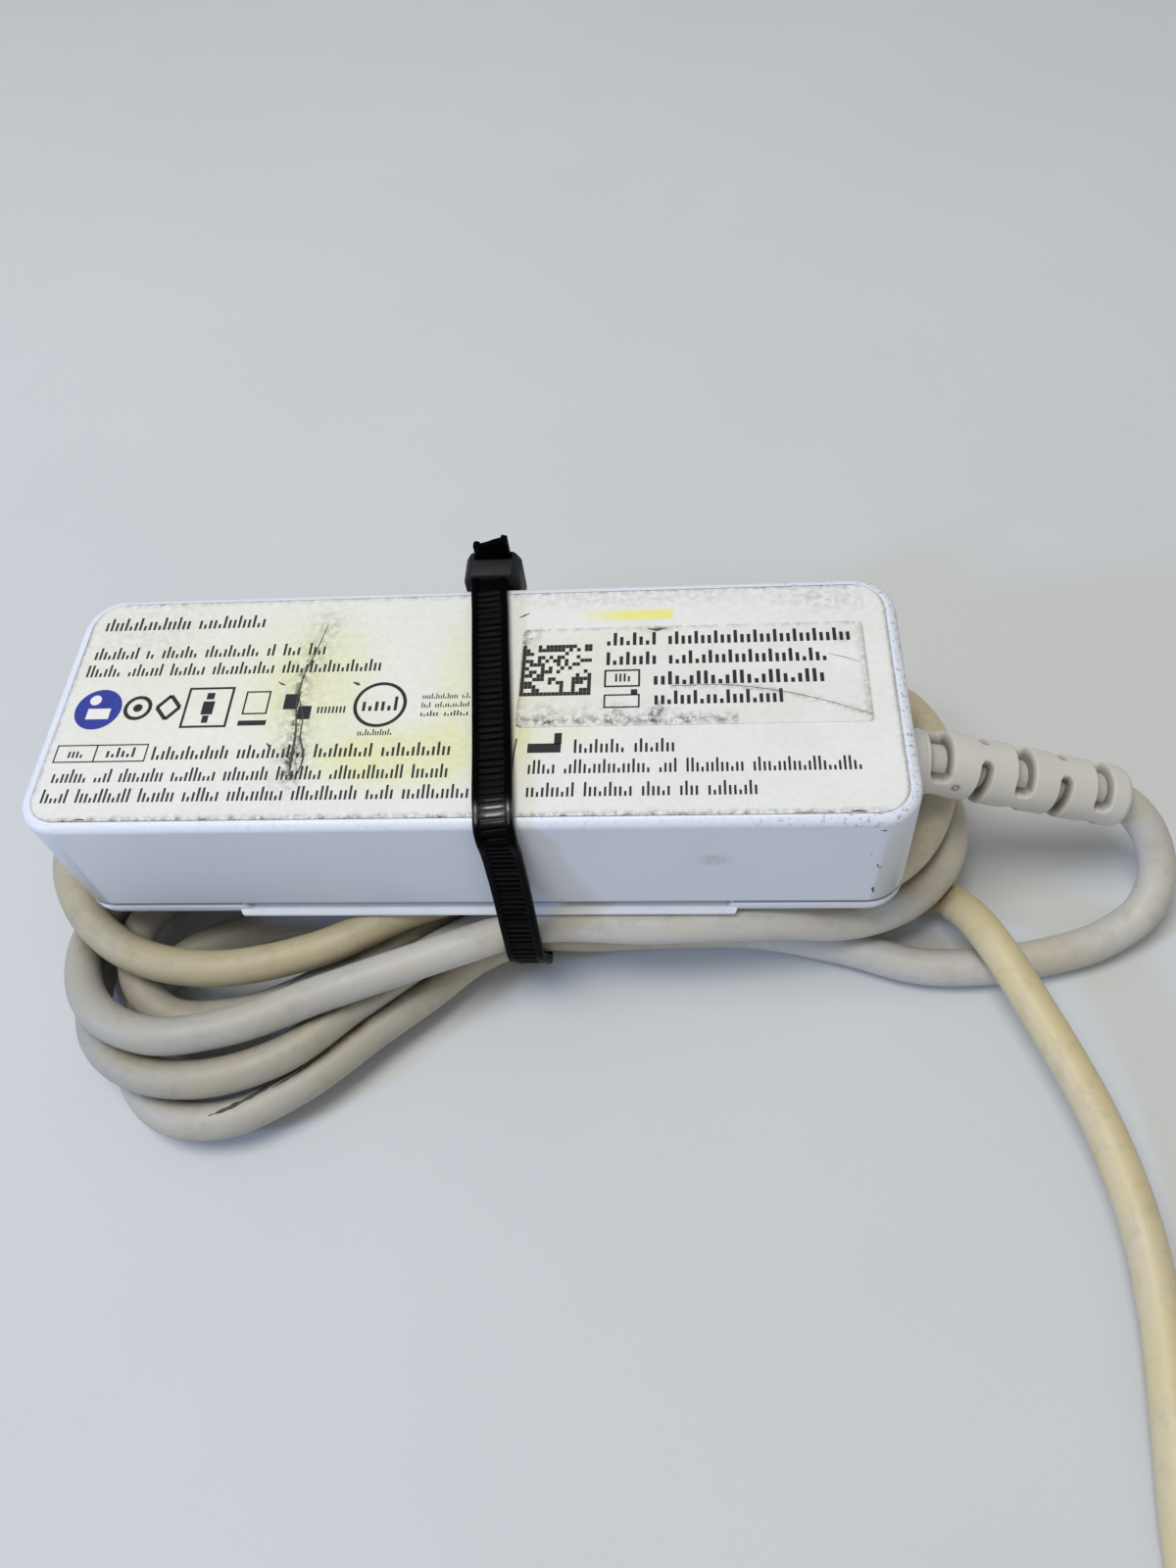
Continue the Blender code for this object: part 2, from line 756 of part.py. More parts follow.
# Main board on the cover's posts
board_length = BOARD_RIGHT - BOARD_LEFT
board_x = (BOARD_RIGHT + BOARD_LEFT) / 2
board = block(
    "main_board",
    (board_length, BOARD_WIDTH, BOARD_THICKNESS),
    (board_x, 0.0, BOARD_TOP - BOARD_THICKNESS / 2),
    green_board,
)
for side_name, side in (("front", -1), ("back", 1)):
    notch_width = COVER_PILLAR + 4 * GAP
    notch = block(
        f"board_notch_{side_name}",
        (notch_width + WALL, 2 * notch_width, 3 * BOARD_THICKNESS),
        (
            -SCREW_X - WALL / 2,
            side * (SCREW_Y + notch_width / 2),
            BOARD_TOP - BOARD_THICKNESS / 2,
        ),
        None,
    )
    cut(board, notch)
    for end_name, x in (("left", POST_LEFT_X), ("right", POST_RIGHT_X)):
        mark = f"{end_name}_{side_name}"
        y = side * POST_Y
        post = rod(
            f"board_post_{mark}",
            POST_DIAMETER,
            (x, y, LIFT + COVER_PLATE / 2),
            (x, y, LIFT + BOARD_HEIGHT - GAP),
            None,
        )
        hole = rod(
            f"board_screw_hole_{mark}",
            BOARD_SCREW_SHANK + 2 * GAP,
            (x, y, SEAT - BOARD_SCREW_LENGTH - 0.5),
            (x, y, SEAT + 1.0),
            None,
            sides=12,
        )
        join(cover, post)
        cut(cover, hole)
        cut(board, hole)
        screw = rod(
            f"board_screw_{mark}",
            BOARD_SCREW_SHANK,
            (x, y, SEAT - BOARD_SCREW_LENGTH),
            (x, y, SEAT + BOARD_SCREW_HEAD_HEIGHT / 2),
            steel,
            sides=10,
        )
        screw_head = rod(
            f"board_screw_head_{mark}",
            BOARD_SCREW_HEAD,
            (x, y, SEAT),
            (x, y, SEAT + BOARD_SCREW_HEAD_HEIGHT),
            None,
            tip=0.8 * BOARD_SCREW_HEAD,
            sides=16,
        )
        join(screw, screw_head)

# Power socket: a housing with a round snout through the end wall, and its centre pin
jack_z = SEAT + JACK_HEIGHT / 2
jack_left = -CAVITY_X + GAP
jack = block(
    "power_socket_housing",
    (JACK_LENGTH, JACK_WIDTH, JACK_HEIGHT),
    (jack_left + JACK_LENGTH / 2, JACK_Y, jack_z),
    black_plastic,
)
snout = rod(
    "power_socket_snout",
    JACK_SNOUT,
    (-END_X + GAP, JACK_Y, jack_z),
    (jack_left + JACK_LENGTH / 2, JACK_Y, jack_z),
    None,
)
bore = rod(
    "power_socket_bore",
    JACK_BORE,
    (-END_X - 1.0, JACK_Y, jack_z),
    (-END_X + GAP + JACK_BORE_DEPTH, JACK_Y, jack_z),
    None,
)
pin_seat = rod(
    "power_pin_seat",
    JACK_PIN + 2 * GAP,
    (-END_X, JACK_Y, jack_z),
    (-END_X + 2 * JACK_LENGTH, JACK_Y, jack_z),
    None,
    sides=16,
)
join(jack, snout)
cut(jack, bore, pin_seat)
pin_left = -END_X + GAP + 1.0
rod(
    "power_socket_pin",
    JACK_PIN,
    (pin_left, JACK_Y, jack_z),
    (pin_left + JACK_PIN_LENGTH, JACK_Y, jack_z),
    nickel,
    sides=16,
)
jack_hole = rod(
    "power_socket_hole",
    JACK_SNOUT + 2 * GAP,
    (-END_X - 2.0, JACK_Y, jack_z),
    (-CAVITY_X + 2.0, JACK_Y, jack_z),
    None,
)

# Data socket: a folded metal shell with the tongue and its insulator inside
data_z = SEAT + DATA_HEIGHT / 2
data_left = -END_X + 2 * GAP


def flat_tube(name, width, height, left, length, look):
    """A bar along X with a flat oval section."""
    outline = rounded_rectangle(width, height, height / 2 - 0.05)
    made = extruded(name, outline, 0.0, length, look)
    made.data.transform(ALONG_X)
    made.data.transform(Matrix.Translation(Vector((left, DATA_Y, data_z)) * MM))
    return made


data_shell = flat_tube("data_socket_shell", DATA_WIDTH, DATA_HEIGHT, data_left, DATA_LENGTH, nickel)
data_bore = flat_tube(
    "data_socket_bore",
    DATA_WIDTH - 2 * DATA_WALL,
    DATA_HEIGHT - 2 * DATA_WALL,
    data_left - 1.0,
    DATA_LENGTH + 2.0,
    None,
)
cut(data_shell, data_bore)
data_hole = flat_tube(
    "data_socket_hole",
    DATA_WIDTH + 2 * GAP,
    DATA_HEIGHT + 2 * GAP,
    -END_X - 2.0,
    WALL + 4.0,
    None,
)
insulator_length = DATA_LENGTH - TONGUE_LENGTH - GAP
tongue = flat_tube(
    "data_socket_tongue",
    DATA_WIDTH - 2 * DATA_WALL - 2 * GAP,
    DATA_HEIGHT - 2 * DATA_WALL - 2 * GAP,
    data_left + DATA_LENGTH - insulator_length,
    insulator_length,
    black_plastic,
)
blade = block(
    "data_socket_blade",
    (TONGUE_LENGTH, TONGUE_WIDTH, TONGUE_THICKNESS),
    (data_left + DATA_LENGTH - insulator_length - TONGUE_LENGTH / 2 + 0.5, DATA_Y, data_z),
    None,
)
join(tongue, blade)
cut(shell, jack_hole, data_hole)

# Components on the board
block(
    "main_chip",
    (CHIP_SIZE, CHIP_SIZE, CHIP_HEIGHT),
    (CHIP_X, CHIP_Y, SEAT + CHIP_HEIGHT / 2),
    black_plastic,
    0.15,
)
block(
    "power_inductor",
    (INDUCTOR_SIZE, INDUCTOR_SIZE, INDUCTOR_HEIGHT),
    (INDUCTOR_X, INDUCTOR_Y, SEAT + INDUCTOR_HEIGHT / 2),
    black_plastic,
    0.6,
)
block(
    "filter_capacitor",
    (FILTER_LENGTH, FILTER_WIDTH, FILTER_HEIGHT),
    (INDUCTOR_X, FILTER_Y, SEAT + FILTER_HEIGHT / 2),
    ivory_nylon,
    0.2,
)
block(
    "crystal_can",
    (CRYSTAL_WIDTH, CRYSTAL_LENGTH, CRYSTAL_HEIGHT),
    (CRYSTAL_X, CRYSTAL_Y, SEAT + CRYSTAL_HEIGHT / 2),
    nickel,
    0.5,
)
for side_name, y in (("front", CAP_FRONT_Y), ("back", CAP_BACK_Y)):
    rod(
        f"bulk_capacitor_{side_name}",
        CAP_DIAMETER,
        (CAP_X, y, SEAT),
        (CAP_X, y, SEAT + CAP_HEIGHT),
        nickel,
    )

# Header on the board and the plug that the wires end in
header_right = HEADER_X + HEADER_LENGTH
header = block(
    "board_header",
    (HEADER_LENGTH, HEADER_WIDTH, HEADER_HEIGHT),
    (HEADER_X + HEADER_LENGTH / 2, RELIEF_Y, SEAT + HEADER_HEIGHT / 2),
    ivory_nylon,
)
header_pocket = block(
    "header_pocket",
    (PLUG_INSERTION + GAP + 1.0, HEADER_WIDTH - 2 * HEADER_WALL, HEADER_HEIGHT - 2 * HEADER_WALL),
    (header_right - (PLUG_INSERTION + GAP) / 2 + 0.5, RELIEF_Y, SEAT + HEADER_HEIGHT / 2),
    None,
)
cut(header, header_pocket)
plug_right = header_right - PLUG_INSERTION + PLUG_LENGTH
block(
    "wire_plug",
    (PLUG_LENGTH, HEADER_WIDTH - 2 * HEADER_WALL - 2 * GAP, HEADER_HEIGHT - 2 * HEADER_WALL - 2 * GAP),
    (plug_right - PLUG_LENGTH / 2, RELIEF_Y, SEAT + HEADER_HEIGHT / 2),
    ivory_nylon,
)

# Strain relief: one moulding with a flange inside the wall, a neck in its slot and a slotted body
relief_axis = smooth_path(
    (
        (END_X, RELIEF_Y, LEAD_Z),
        (END_X + 3.0, RELIEF_Y, LEAD_Z - 0.3),
        (END_X + 0.4 * (RELIEF_END_X - END_X), RELIEF_Y - 0.1, LEAD_Z - 0.33 * RELIEF_DROP),
        (END_X + 0.7 * (RELIEF_END_X - END_X), RELIEF_Y - 0.2, LEAD_Z - 0.66 * RELIEF_DROP),
        (RELIEF_END_X, RELIEF_Y - 0.3, LEAD_Z - RELIEF_DROP),
    )
)
body_axis = spaced(relief_axis, 2.4)
flange_right = CAVITY_X - GAP
spots = [
    Vector((flange_right - FLANGE_THICKNESS, RELIEF_Y, LEAD_Z)),
    Vector((flange_right, RELIEF_Y, LEAD_Z)),
    Vector((flange_right + 0.05, RELIEF_Y, LEAD_Z)),
    Vector((END_X + GAP, RELIEF_Y, LEAD_Z)),
]
widths = [RELIEF_FLANGE, RELIEF_FLANGE, RELIEF_NECK, RELIEF_NECK]
rest = [point for point in body_axis if point.x > END_X + GAP + 0.6]
spots.append(Vector((END_X + GAP + 0.3, RELIEF_Y, LEAD_Z - 0.02)))
widths.append(RELIEF_BASE)
for index, point in enumerate(rest[:-1]):
    spots.append(point)
    widths.append(RELIEF_BASE + (RELIEF_TIP - RELIEF_BASE) * index / len(rest))
last_run = (rest[-1] - rest[-2]).normalized()
spots.append(rest[-1] - 0.6 * last_run)
widths.append(RELIEF_TIP)
spots.append(rest[-1])
widths.append(RELIEF_TIP - 1.0)
relief = tube("strain_relief", spots, widths, grey_tpe, 5)


def axis_frame(path, distance):
    """The point and the direction at a distance along a fine path."""
    gone = 0.0
    for a, b in zip(path, path[1:]):
        step = (b - a).length
        if gone + step >= distance:
            return a.lerp(b, (distance - gone) / step), (b - a).normalized()
        gone += step
    return path[-1], (path[-1] - path[-2]).normalized()


for station in range(SLOT_COUNT):
    where, along = axis_frame(relief_axis, SLOT_FIRST + station * SLOT_PITCH)
    swing = Vector((1.0, 0.0, 0.0)).rotation_difference(along).to_matrix().to_4x4()
    for side in (0, 1):
        roll = Matrix.Rotation(math.radians(90 * (station % 2) + 180 * side - SLOT_ROLL), 4, "X")
        turn = swing @ roll
        reach = RELIEF_BASE - SLOT_DEPTH
        shift = turn @ Vector((0.0, -reach, 0.0))
        slot = block(
            f"relief_slot_{station}_{side}",
            (SLOT_WIDTH, RELIEF_BASE, SLOT_SPAN),
            where + shift,
            None,
            turn=turn,
        )
        cut(relief, slot)

# The lead's end inside the case, its clamp and its wires
inner_right = flange_right - FLANGE_THICKNESS - GAP
inner_left = inner_right - LEAD_INNER_LENGTH
rod(
    "lead_inner_end",
    LEAD_DIAMETER,
    (inner_right, RELIEF_Y, LEAD_Z),
    (inner_left, RELIEF_Y, LEAD_Z),
    grey_lead,
    sides=20,
)
clamp_low = LEAD_Z - GAP
clamp_high = LEAD_Z + CLAMP_TOP
clamp = block(
    "lead_clamp",
    (CLAMP_WIDTH, CLAMP_LENGTH, clamp_high - clamp_low),
    (CLAMP_X, RELIEF_Y, (clamp_low + clamp_high) / 2),
    black_nylon,
)
clamp_groove = rod(
    "clamp_groove",
    LEAD_DIAMETER + 2 * GAP,
    (CLAMP_X - CLAMP_WIDTH, RELIEF_Y, LEAD_Z),
    (CLAMP_X + CLAMP_WIDTH, RELIEF_Y, LEAD_Z),
    None,
)
clamp_mouth = block(
    "clamp_mouth",
    (2 * CLAMP_WIDTH, LEAD_DIAMETER + 2 * GAP, LEAD_DIAMETER),
    (CLAMP_X, RELIEF_Y, LEAD_Z - LEAD_DIAMETER / 2),
    None,
)
cut(clamp, clamp_groove, clamp_mouth)
for side_name, side in (("front", -1), ("back", 1)):
    y = RELIEF_Y + side * CLAMP_SCREW_Y
    boss = rod(
        f"clamp_boss_{side_name}",
        CLAMP_BOSS,
        (CLAMP_X, y, LIFT + COVER_PLATE / 2),
        (CLAMP_X, y, clamp_low - GAP),
        None,
    )
    screw_top = clamp_high + GAP
    hole = rod(
        f"clamp_screw_hole_{side_name}",
        CLAMP_SCREW_SHANK + 2 * GAP,
        (CLAMP_X, y, screw_top - CLAMP_SCREW_LENGTH - 0.5),
        (CLAMP_X, y, screw_top + 1.0),
        None,
        sides=12,
    )
    join(cover, boss)
    cut(cover, hole)
    cut(clamp, hole)
    screw = rod(
        f"clamp_screw_{side_name}",
        CLAMP_SCREW_SHANK,
        (CLAMP_X, y, screw_top - CLAMP_SCREW_LENGTH),
        (CLAMP_X, y, screw_top + CLAMP_SCREW_HEAD_HEIGHT / 2),
        steel,
        sides=10,
    )
    screw_head = rod(
        f"clamp_screw_head_{side_name}",
        CLAMP_SCREW_HEAD,
        (CLAMP_X, y, screw_top),
        (CLAMP_X, y, screw_top + CLAMP_SCREW_HEAD_HEIGHT),
        None,
        tip=0.8 * CLAMP_SCREW_HEAD,
        sides=16,
    )
    join(screw, screw_head)

wire_looks = (("red", copper_red), ("black", wire_black), ("green", wire_green), ("white", wire_white))
wire_start_x = inner_left - GAP
wire_end_x = plug_right + GAP
wire_end_z = SEAT + HEADER_HEIGHT / 2
for index, (colour, look) in enumerate(wire_looks):
    spread = (index - 1.5) * WIRE_PITCH
    start_y = RELIEF_Y + (-WIRE_DIAMETER if index < 2 else WIRE_DIAMETER)
    start_z = LEAD_Z + (WIRE_DIAMETER if index in (1, 2) else -WIRE_DIAMETER)
    route = (
        (wire_start_x, start_y, start_z),
        (wire_start_x - 1.2, start_y, start_z),
        (wire_end_x + 1.2, RELIEF_Y + spread, wire_end_z),
        (wire_end_x, RELIEF_Y + spread, wire_end_z),
    )
    points = spaced(smooth_path(route), 2 * WIRE_DIAMETER / 3)
    tube(f"lead_wire_{colour}", points, [WIRE_DIAMETER] * len(points), look, 1)

# Cable tie: a strap round the case and the hank, with its head at the back
top_run = CASE_TOP + GAP + SERIAL_THICKNESS + GAP / 2 + TIE_THICKNESS / 2
mid = TIE_THICKNESS / 2
front = -TIE_REACH + mid
slot_y = TIE_REACH - 2.1
edge_run = SIDE_Y + 1.4 * GAP + mid
head_low = LIFT + TIE_HEAD_LOW
head_high = head_low + TIE_HEAD_HEIGHT
TIE_ROUTE = (
    (1.2, slot_y - 0.9, top_run - 1.5),
    (1.2, SIDE_Y + 0.6, top_run - 0.4),
    (1.5, SIDE_Y - 1.4, top_run),
    (2.3, 8.0, top_run),
    (3.1, 0.0, top_run),
    (3.9, -8.0, top_run),
    (4.7, -SIDE_Y + 1.6, top_run),
    (4.9, -SIDE_Y - 0.2, top_run - 0.5),
    (5.1, -edge_run - 0.1, top_run - 2.0),
    (5.2, -edge_run - 0.8, LIFT + 0.6 * CASE_HEIGHT),
    (5.1, front + 0.3, LIFT),
    (5.0, front, 0.76 * LIFT),
    (4.9, front + 1.2, 0.52 * LIFT),
    (4.9, front + 2.5, 0.29 * LIFT),
    (4.8, front + 3.3, 2.2),
    (4.8, front + 4.6, 1.0),
    (4.8, front + 6.2, mid),
    (4.7, -11.0, mid),
    (4.5, -5.0, mid),
    (4.3, 0.6, mid),
    (4.2, 2.4, mid + 0.7),
    (3.0, edge_run - 2.2, LIFT - 2.0),
    (2.6, edge_run - 0.2, LIFT + 0.2),
    (2.4, edge_run + 0.2, LIFT + 2.6),
    (1.8, slot_y - 0.5, head_low - 4.0),
    (1.6, slot_y, head_low),
    (1.6, slot_y, head_high),
    (1.7, slot_y, head_high + TIE_TAIL),
)
tie_path = smooth_path(TIE_ROUTE, 12)
for spot in tie_path:
    spot.y = max(spot.y, front)
    spot.z = max(spot.z, mid)
tie_points = spaced(tie_path, 1.5)


def strap_frame(along):
    """The across and outward directions of the strap for its direction of travel."""
    across = Vector((1.0, 0.0, 0.0))
    across = (across - along * across.dot(along)).normalized()
    return across, along.cross(across).normalized()


bm = bmesh.new()
rows = []
for index, point in enumerate(tie_points):
    before = tie_points[max(index - 1, 0)]
    after = tie_points[min(index + 1, len(tie_points) - 1)]
    across, outward = strap_frame((after - before).normalized())
    ragged = 0.9 if index == len(tie_points) - 1 else 0.0
    row = []
    for side, level in ((-1, -1), (1, -1), (1, 1), (-1, 1)):
        corner = point + across * side * TIE_WIDTH / 2 + outward * level * mid
        corner.z += side * ragged / 2
        row.append(bm.verts.new(corner))
    rows.append(row)
for first, second in zip(rows, rows[1:]):
    for a in range(4):
        b = (a + 1) % 4
        bm.faces.new((first[a], first[b], second[b], second[a]))
bm.faces.new(rows[0])
bm.faces.new(rows[-1])
tie = place("cable_tie", bm, black_nylon)

# Ladder of pockets between the ribs on the strap's top run
bm = bmesh.new()
for index in range(POCKET_COUNT):
    where, along = axis_frame(tie_points, LADDER_START + index * RIB_PITCH)
    across, outward = strap_frame(along)
    turn = Matrix((along, across, outward)).transposed().to_4x4()
    size = Matrix.Diagonal((POCKET_LENGTH, POCKET_WIDTH, 2 * POCKET_DEPTH, 1.0))
    middle = Matrix.Translation(where + outward * mid)
    bmesh.ops.create_cube(bm, size=1.0, matrix=middle @ turn @ size)
pockets = place("strap_pockets", bm, None)
cut(tie, pockets)

head_y = TIE_REACH - TIE_HEAD_DEPTH / 2
tie_head = block(
    "tie_head",
    (TIE_HEAD_WIDTH, TIE_HEAD_DEPTH, TIE_HEAD_HEIGHT),
    (1.5, head_y, (head_low + head_high) / 2),
    None,
    0.5,
)
tie_slot = block(
    "tie_slot",
    (TIE_WIDTH + 2 * GAP, TIE_THICKNESS + 2 * GAP, 2 * TIE_HEAD_HEIGHT),
    (1.6, slot_y, (head_low + head_high) / 2),
    None,
)
cut(tie_head, tie_slot)
join(tie, tie_head)

# Hank: the wound lead under the case, with a notch where the tie passes
hank_fine = smooth_path([(x, y, 0.0) for x, y in HANK_OUTLINE + HANK_OUTLINE[:3]], 8)
hank_loop = hank_fine[8 : 8 + 8 * len(HANK_OUTLINE)]
hank_low = 0.1
hank_high = LIFT - GAP
hank = extruded(
    "lead_hank",
    [(point.x, point.y) for point in hank_loop[::2]],
    hank_low,
    hank_high,
    grey_lead,
)
round_rim(hank, hank_high, HANK_EDGE, 2)
round_rim(hank, hank_low, HANK_EDGE, 2)
inside = mid + 1.4 * GAP
notch_outline = (
    (-2 * TIE_REACH, -1.0),
    (TIE_REACH / 2, -1.0),
    (TIE_REACH / 2, mid + inside),
    (front + 6.2, mid + inside),
    (front + 4.9, 0.9 + inside),
    (front + 3.4 + inside, 2.8),
    (front + 2.5 + inside, 0.29 * LIFT),
    (front + 1.2 + inside, 0.52 * LIFT),
    (front + inside, 0.76 * LIFT),
    (front + inside + 0.3, LIFT),
    (-2 * TIE_REACH, LIFT),
)
hank_notch = extruded("hank_notch", notch_outline, -NOTCH_WIDTH / 2, NOTCH_WIDTH / 2, None)
hank_notch.data.transform(ALONG_X)
hank_notch.location.x = 4.9 * MM
combine(hank, hank_notch, "DIFFERENCE", "MANIFOLD")

# Free stretches of the lead, as plain tubes
near_points = spaced(smooth_path(NEAR_ROUTE), NEAR_STEP * LEAD_DIAMETER)
tube("lead_near_stretch", near_points, [LEAD_DIAMETER] * len(near_points), grey_lead, 3)
far_points = spaced(smooth_path(FAR_ROUTE), FAR_STEP * LEAD_DIAMETER)
tube("lead_far_stretch", far_points, [LEAD_DIAMETER] * len(far_points), grey_lead, 3)

# Coil of the lead's far part
coil_low = 0.1
coil_high = COIL_LAYERS * LEAD_DIAMETER
coil_round = LEAD_DIAMETER / 3
turned(
    "lead_rest_coil",
    (
        (COIL_OUTER - coil_round, coil_high),
        (COIL_OUTER, coil_high - coil_round),
        (COIL_OUTER, coil_low + coil_round),
        (COIL_OUTER - coil_round, coil_low),
        (COIL_INNER + coil_round, coil_low),
        (COIL_INNER, coil_low + coil_round),
        (COIL_INNER, coil_high - coil_round),
        (COIL_INNER + coil_round, coil_high),
    ),
    (COIL_X, COIL_Y, 0.0),
    grey_lead,
)
end_points = spaced(smooth_path(END_ROUTE), LEAD_DIAMETER)
tube("lead_end_stretch", end_points, [LEAD_DIAMETER] * len(end_points), grey_lead, 3)

# Round plug at the lead's end, lying on the surface
far_y = END_ROUTE[-1][1]
far_z = FAR_BODY_DIAMETER / 2 + 0.1
far_x = END_ROUTE[-1][0] - GAP
rod(
    "far_plug_relief",
    FAR_RELIEF_TIP,
    (far_x, far_y, far_z),
    (far_x - FAR_RELIEF_LENGTH, far_y, far_z),
    grey_tpe,
    tip=FAR_RELIEF_BASE,
)
body_start = far_x - FAR_RELIEF_LENGTH - GAP
body_end = body_start - FAR_BODY_LENGTH
far_body = rod(
    "far_plug_body",
    FAR_BODY_DIAMETER,
    (body_start, far_y, far_z),
    (body_end, far_y, far_z),
    black_plastic,
    sides=28,
)
collar_start = body_end - GAP
collar_end = collar_start - FAR_COLLAR_LENGTH
far_collar = rod(
    "far_plug_collar",
    FAR_COLLAR_DIAMETER,
    (collar_start, far_y, far_z),
    (collar_end, far_y, far_z),
    nickel,
)
collar_bore = rod(
    "collar_bore",
    FAR_SLEEVE_DIAMETER + 2 * GAP,
    (collar_start + 1.0, far_y, far_z),
    (collar_end - 1.0, far_y, far_z),
    None,
)
cut(far_collar, collar_bore)
sleeve = rod(
    "far_plug_sleeve",
    FAR_SLEEVE_DIAMETER,
    (collar_start, far_y, far_z),
    (collar_start - FAR_SLEEVE_LENGTH, far_y, far_z),
    nickel,
)
sleeve_bore = rod(
    "sleeve_bore",
    FAR_SLEEVE_DIAMETER - 2 * FAR_SLEEVE_WALL,
    (collar_start + 1.0, far_y, far_z),
    (collar_start - FAR_SLEEVE_LENGTH - 1.0, far_y, far_z),
    None,
)
cut(sleeve, sleeve_bore)
rod(
    "far_plug_insert",
    FAR_SLEEVE_DIAMETER - 2 * FAR_SLEEVE_WALL - 2 * GAP,
    (collar_start, far_y, far_z),
    (collar_start - 0.7 * FAR_SLEEVE_LENGTH, far_y, far_z),
    black_plastic,
    sides=20,
)
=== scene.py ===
"""Looks of the interface box of a dental intraoral scanner, with its lead tied under the case.

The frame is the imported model, in metres, with +Z up and the table at Z = 0. The camera and the
lamps are given in metres, all else is in millimetres, and MM turns these into metres.
"""

import json
from functools import partial

import bmesh
import bpy
import numpy as np
from mathutils import Matrix


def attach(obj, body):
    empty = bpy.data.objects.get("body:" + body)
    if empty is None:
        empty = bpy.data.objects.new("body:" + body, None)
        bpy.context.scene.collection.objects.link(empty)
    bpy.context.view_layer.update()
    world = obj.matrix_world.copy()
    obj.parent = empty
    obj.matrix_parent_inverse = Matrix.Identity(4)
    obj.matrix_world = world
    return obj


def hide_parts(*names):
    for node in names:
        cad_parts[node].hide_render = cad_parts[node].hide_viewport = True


MM = 0.001

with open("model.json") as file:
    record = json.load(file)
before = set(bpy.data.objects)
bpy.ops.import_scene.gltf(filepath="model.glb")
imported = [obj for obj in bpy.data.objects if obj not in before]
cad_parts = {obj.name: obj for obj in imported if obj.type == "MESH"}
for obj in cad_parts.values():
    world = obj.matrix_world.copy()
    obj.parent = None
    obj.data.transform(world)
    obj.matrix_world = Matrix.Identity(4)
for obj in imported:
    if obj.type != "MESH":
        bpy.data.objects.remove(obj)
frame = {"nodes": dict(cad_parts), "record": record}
nodes = frame["nodes"]
scene = bpy.context.scene
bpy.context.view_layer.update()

# Camera: its place, and the directions of its right side, top and back
CAMERA_PLACE = (0.02917, -0.08511, 0.15806)
CAMERA_RIGHT = (0.99522, 0.03803, -0.08995)
CAMERA_UP = (0.02587, 0.7855, 0.61832)
CAMERA_BACK = (0.09417, -0.61769, 0.78076)
CAMERA_SETTINGS = {"sensor_width": 36.0, "lens": 27.9, "shift_y": -0.1, "clip_start": 0.01}

# Light: one wide lamp overhead, a weak cool one from the front left, and a pale room. A lamp has
# its name, place, width, power in watts and colour
LAMPS = (
    ("lamp_overhead", (-0.17, -0.03, 0.82), 0.4, 3.95, "#FFFDF8"),
    ("lamp_front_left", (-0.64, -0.3, 0.4), 0.1, 2.1, "#9CBEFF"),
)
ROOM_COLOUR = "#F4F6FC"
ROOM_STRENGTH = 0.4

# Lead: its thickness, and the points chosen along its middle from the case to the coil
LEAD = 4.7
RELIEF_RUN = (
    (53.5, -1.8, 23.9), (56.5, -1.8, 23.6), (65.1, -1.9, 20.8), (73.7, -2.0, 17.7),
    (80.6, -2.0, 15.4),
)
NEAR_RUN = (
    (84.3, -2.9, 13.0), (86.8, -5.4, 10.2), (87.6, -9.2, 7.0), (85.7, -13.0, 4.4),
    (81.0, -16.0, 2.8), (71.7, -18.9, 2.4), (63.6, -20.1, 2.4),
)
FIRST_LOOP = (
    (56.5, -20.0, 2.4), (46.6, -17.3, 2.4), (36.0, -15.2, 2.4), (24.0, -15.0, 2.4),
    (14.0, -15.6, 2.8), (5.0, -16.2, 3.7), (-2.0, -19.3, 4.2), (-8.0, -24.4, 4.4),
    (-14.0, -29.2, 4.6), (-24.4, -37.5, 4.8), (-32.2, -41.0, 4.7), (-39.0, -40.8, 4.3),
    (-44.6, -37.2, 3.0), (-47.8, -31.4, 2.4), (-47.6, -24.8, 2.4), (-43.6, -18.8, 2.4),
    (-35.0, -14.6, 2.4), (-18.0, -12.2, 2.7),
)
SECOND_LOOP = (
    (5.0, -11.5, 3.7), (14.0, -10.6, 2.5), (26.0, -10.1, 2.4), (37.0, -9.2, 2.4), (45.2, -5.2, 2.4),
    (48.4, 1.8, 2.4), (44.6, 8.2, 2.4), (36.5, 9.6, 2.4), (27.0, 5.0, 2.4), (17.0, -1.4, 2.4),
    (10.4, -5.2, 2.7), (5.0, -6.8, 3.7), (-10.0, -6.2, 2.7), (-32.0, -5.0, 2.4), (-45.0, -6.4, 2.4),
    (-52.6, -11.2, 2.4), (-55.2, -18.6, 2.6), (-54.0, -26.4, 4.3), (-50.2, -32.4, 6.6),
    (-43.2, -36.6, 8.2), (-33.7, -37.3, 8.8), (-25.5, -34.6, 8.7), (-15.9, -26.9, 8.4),
    (-5.4, -19.2, 8.0),
)
THIRD_LOOP = (
    (5.0, -14.6, 7.9), (20.0, -14.4, 7.15), (36.0, -13.4, 7.15), (45.0, -10.6, 7.15),
    (49.4, -4.4, 7.15), (46.4, 2.4, 7.15), (39.0, 5.4, 7.15), (30.5, 2.6, 7.15), (22.0, -3.0, 7.15),
    (13.0, -8.0, 7.3), (5.0, -9.8, 7.9), (-5.0, -13.6, 7.3), (-12.0, -17.9, 7.2),
    (-19.7, -23.2, 7.2), (-32.1, -28.6, 7.2), (-42.0, -28.6, 7.2), (-47.6, -23.4, 7.2),
    (-48.8, -16.6, 7.2), (-44.6, -10.6, 7.2), (-36.0, -7.2, 7.2), (-18.0, -5.2, 7.3),
)
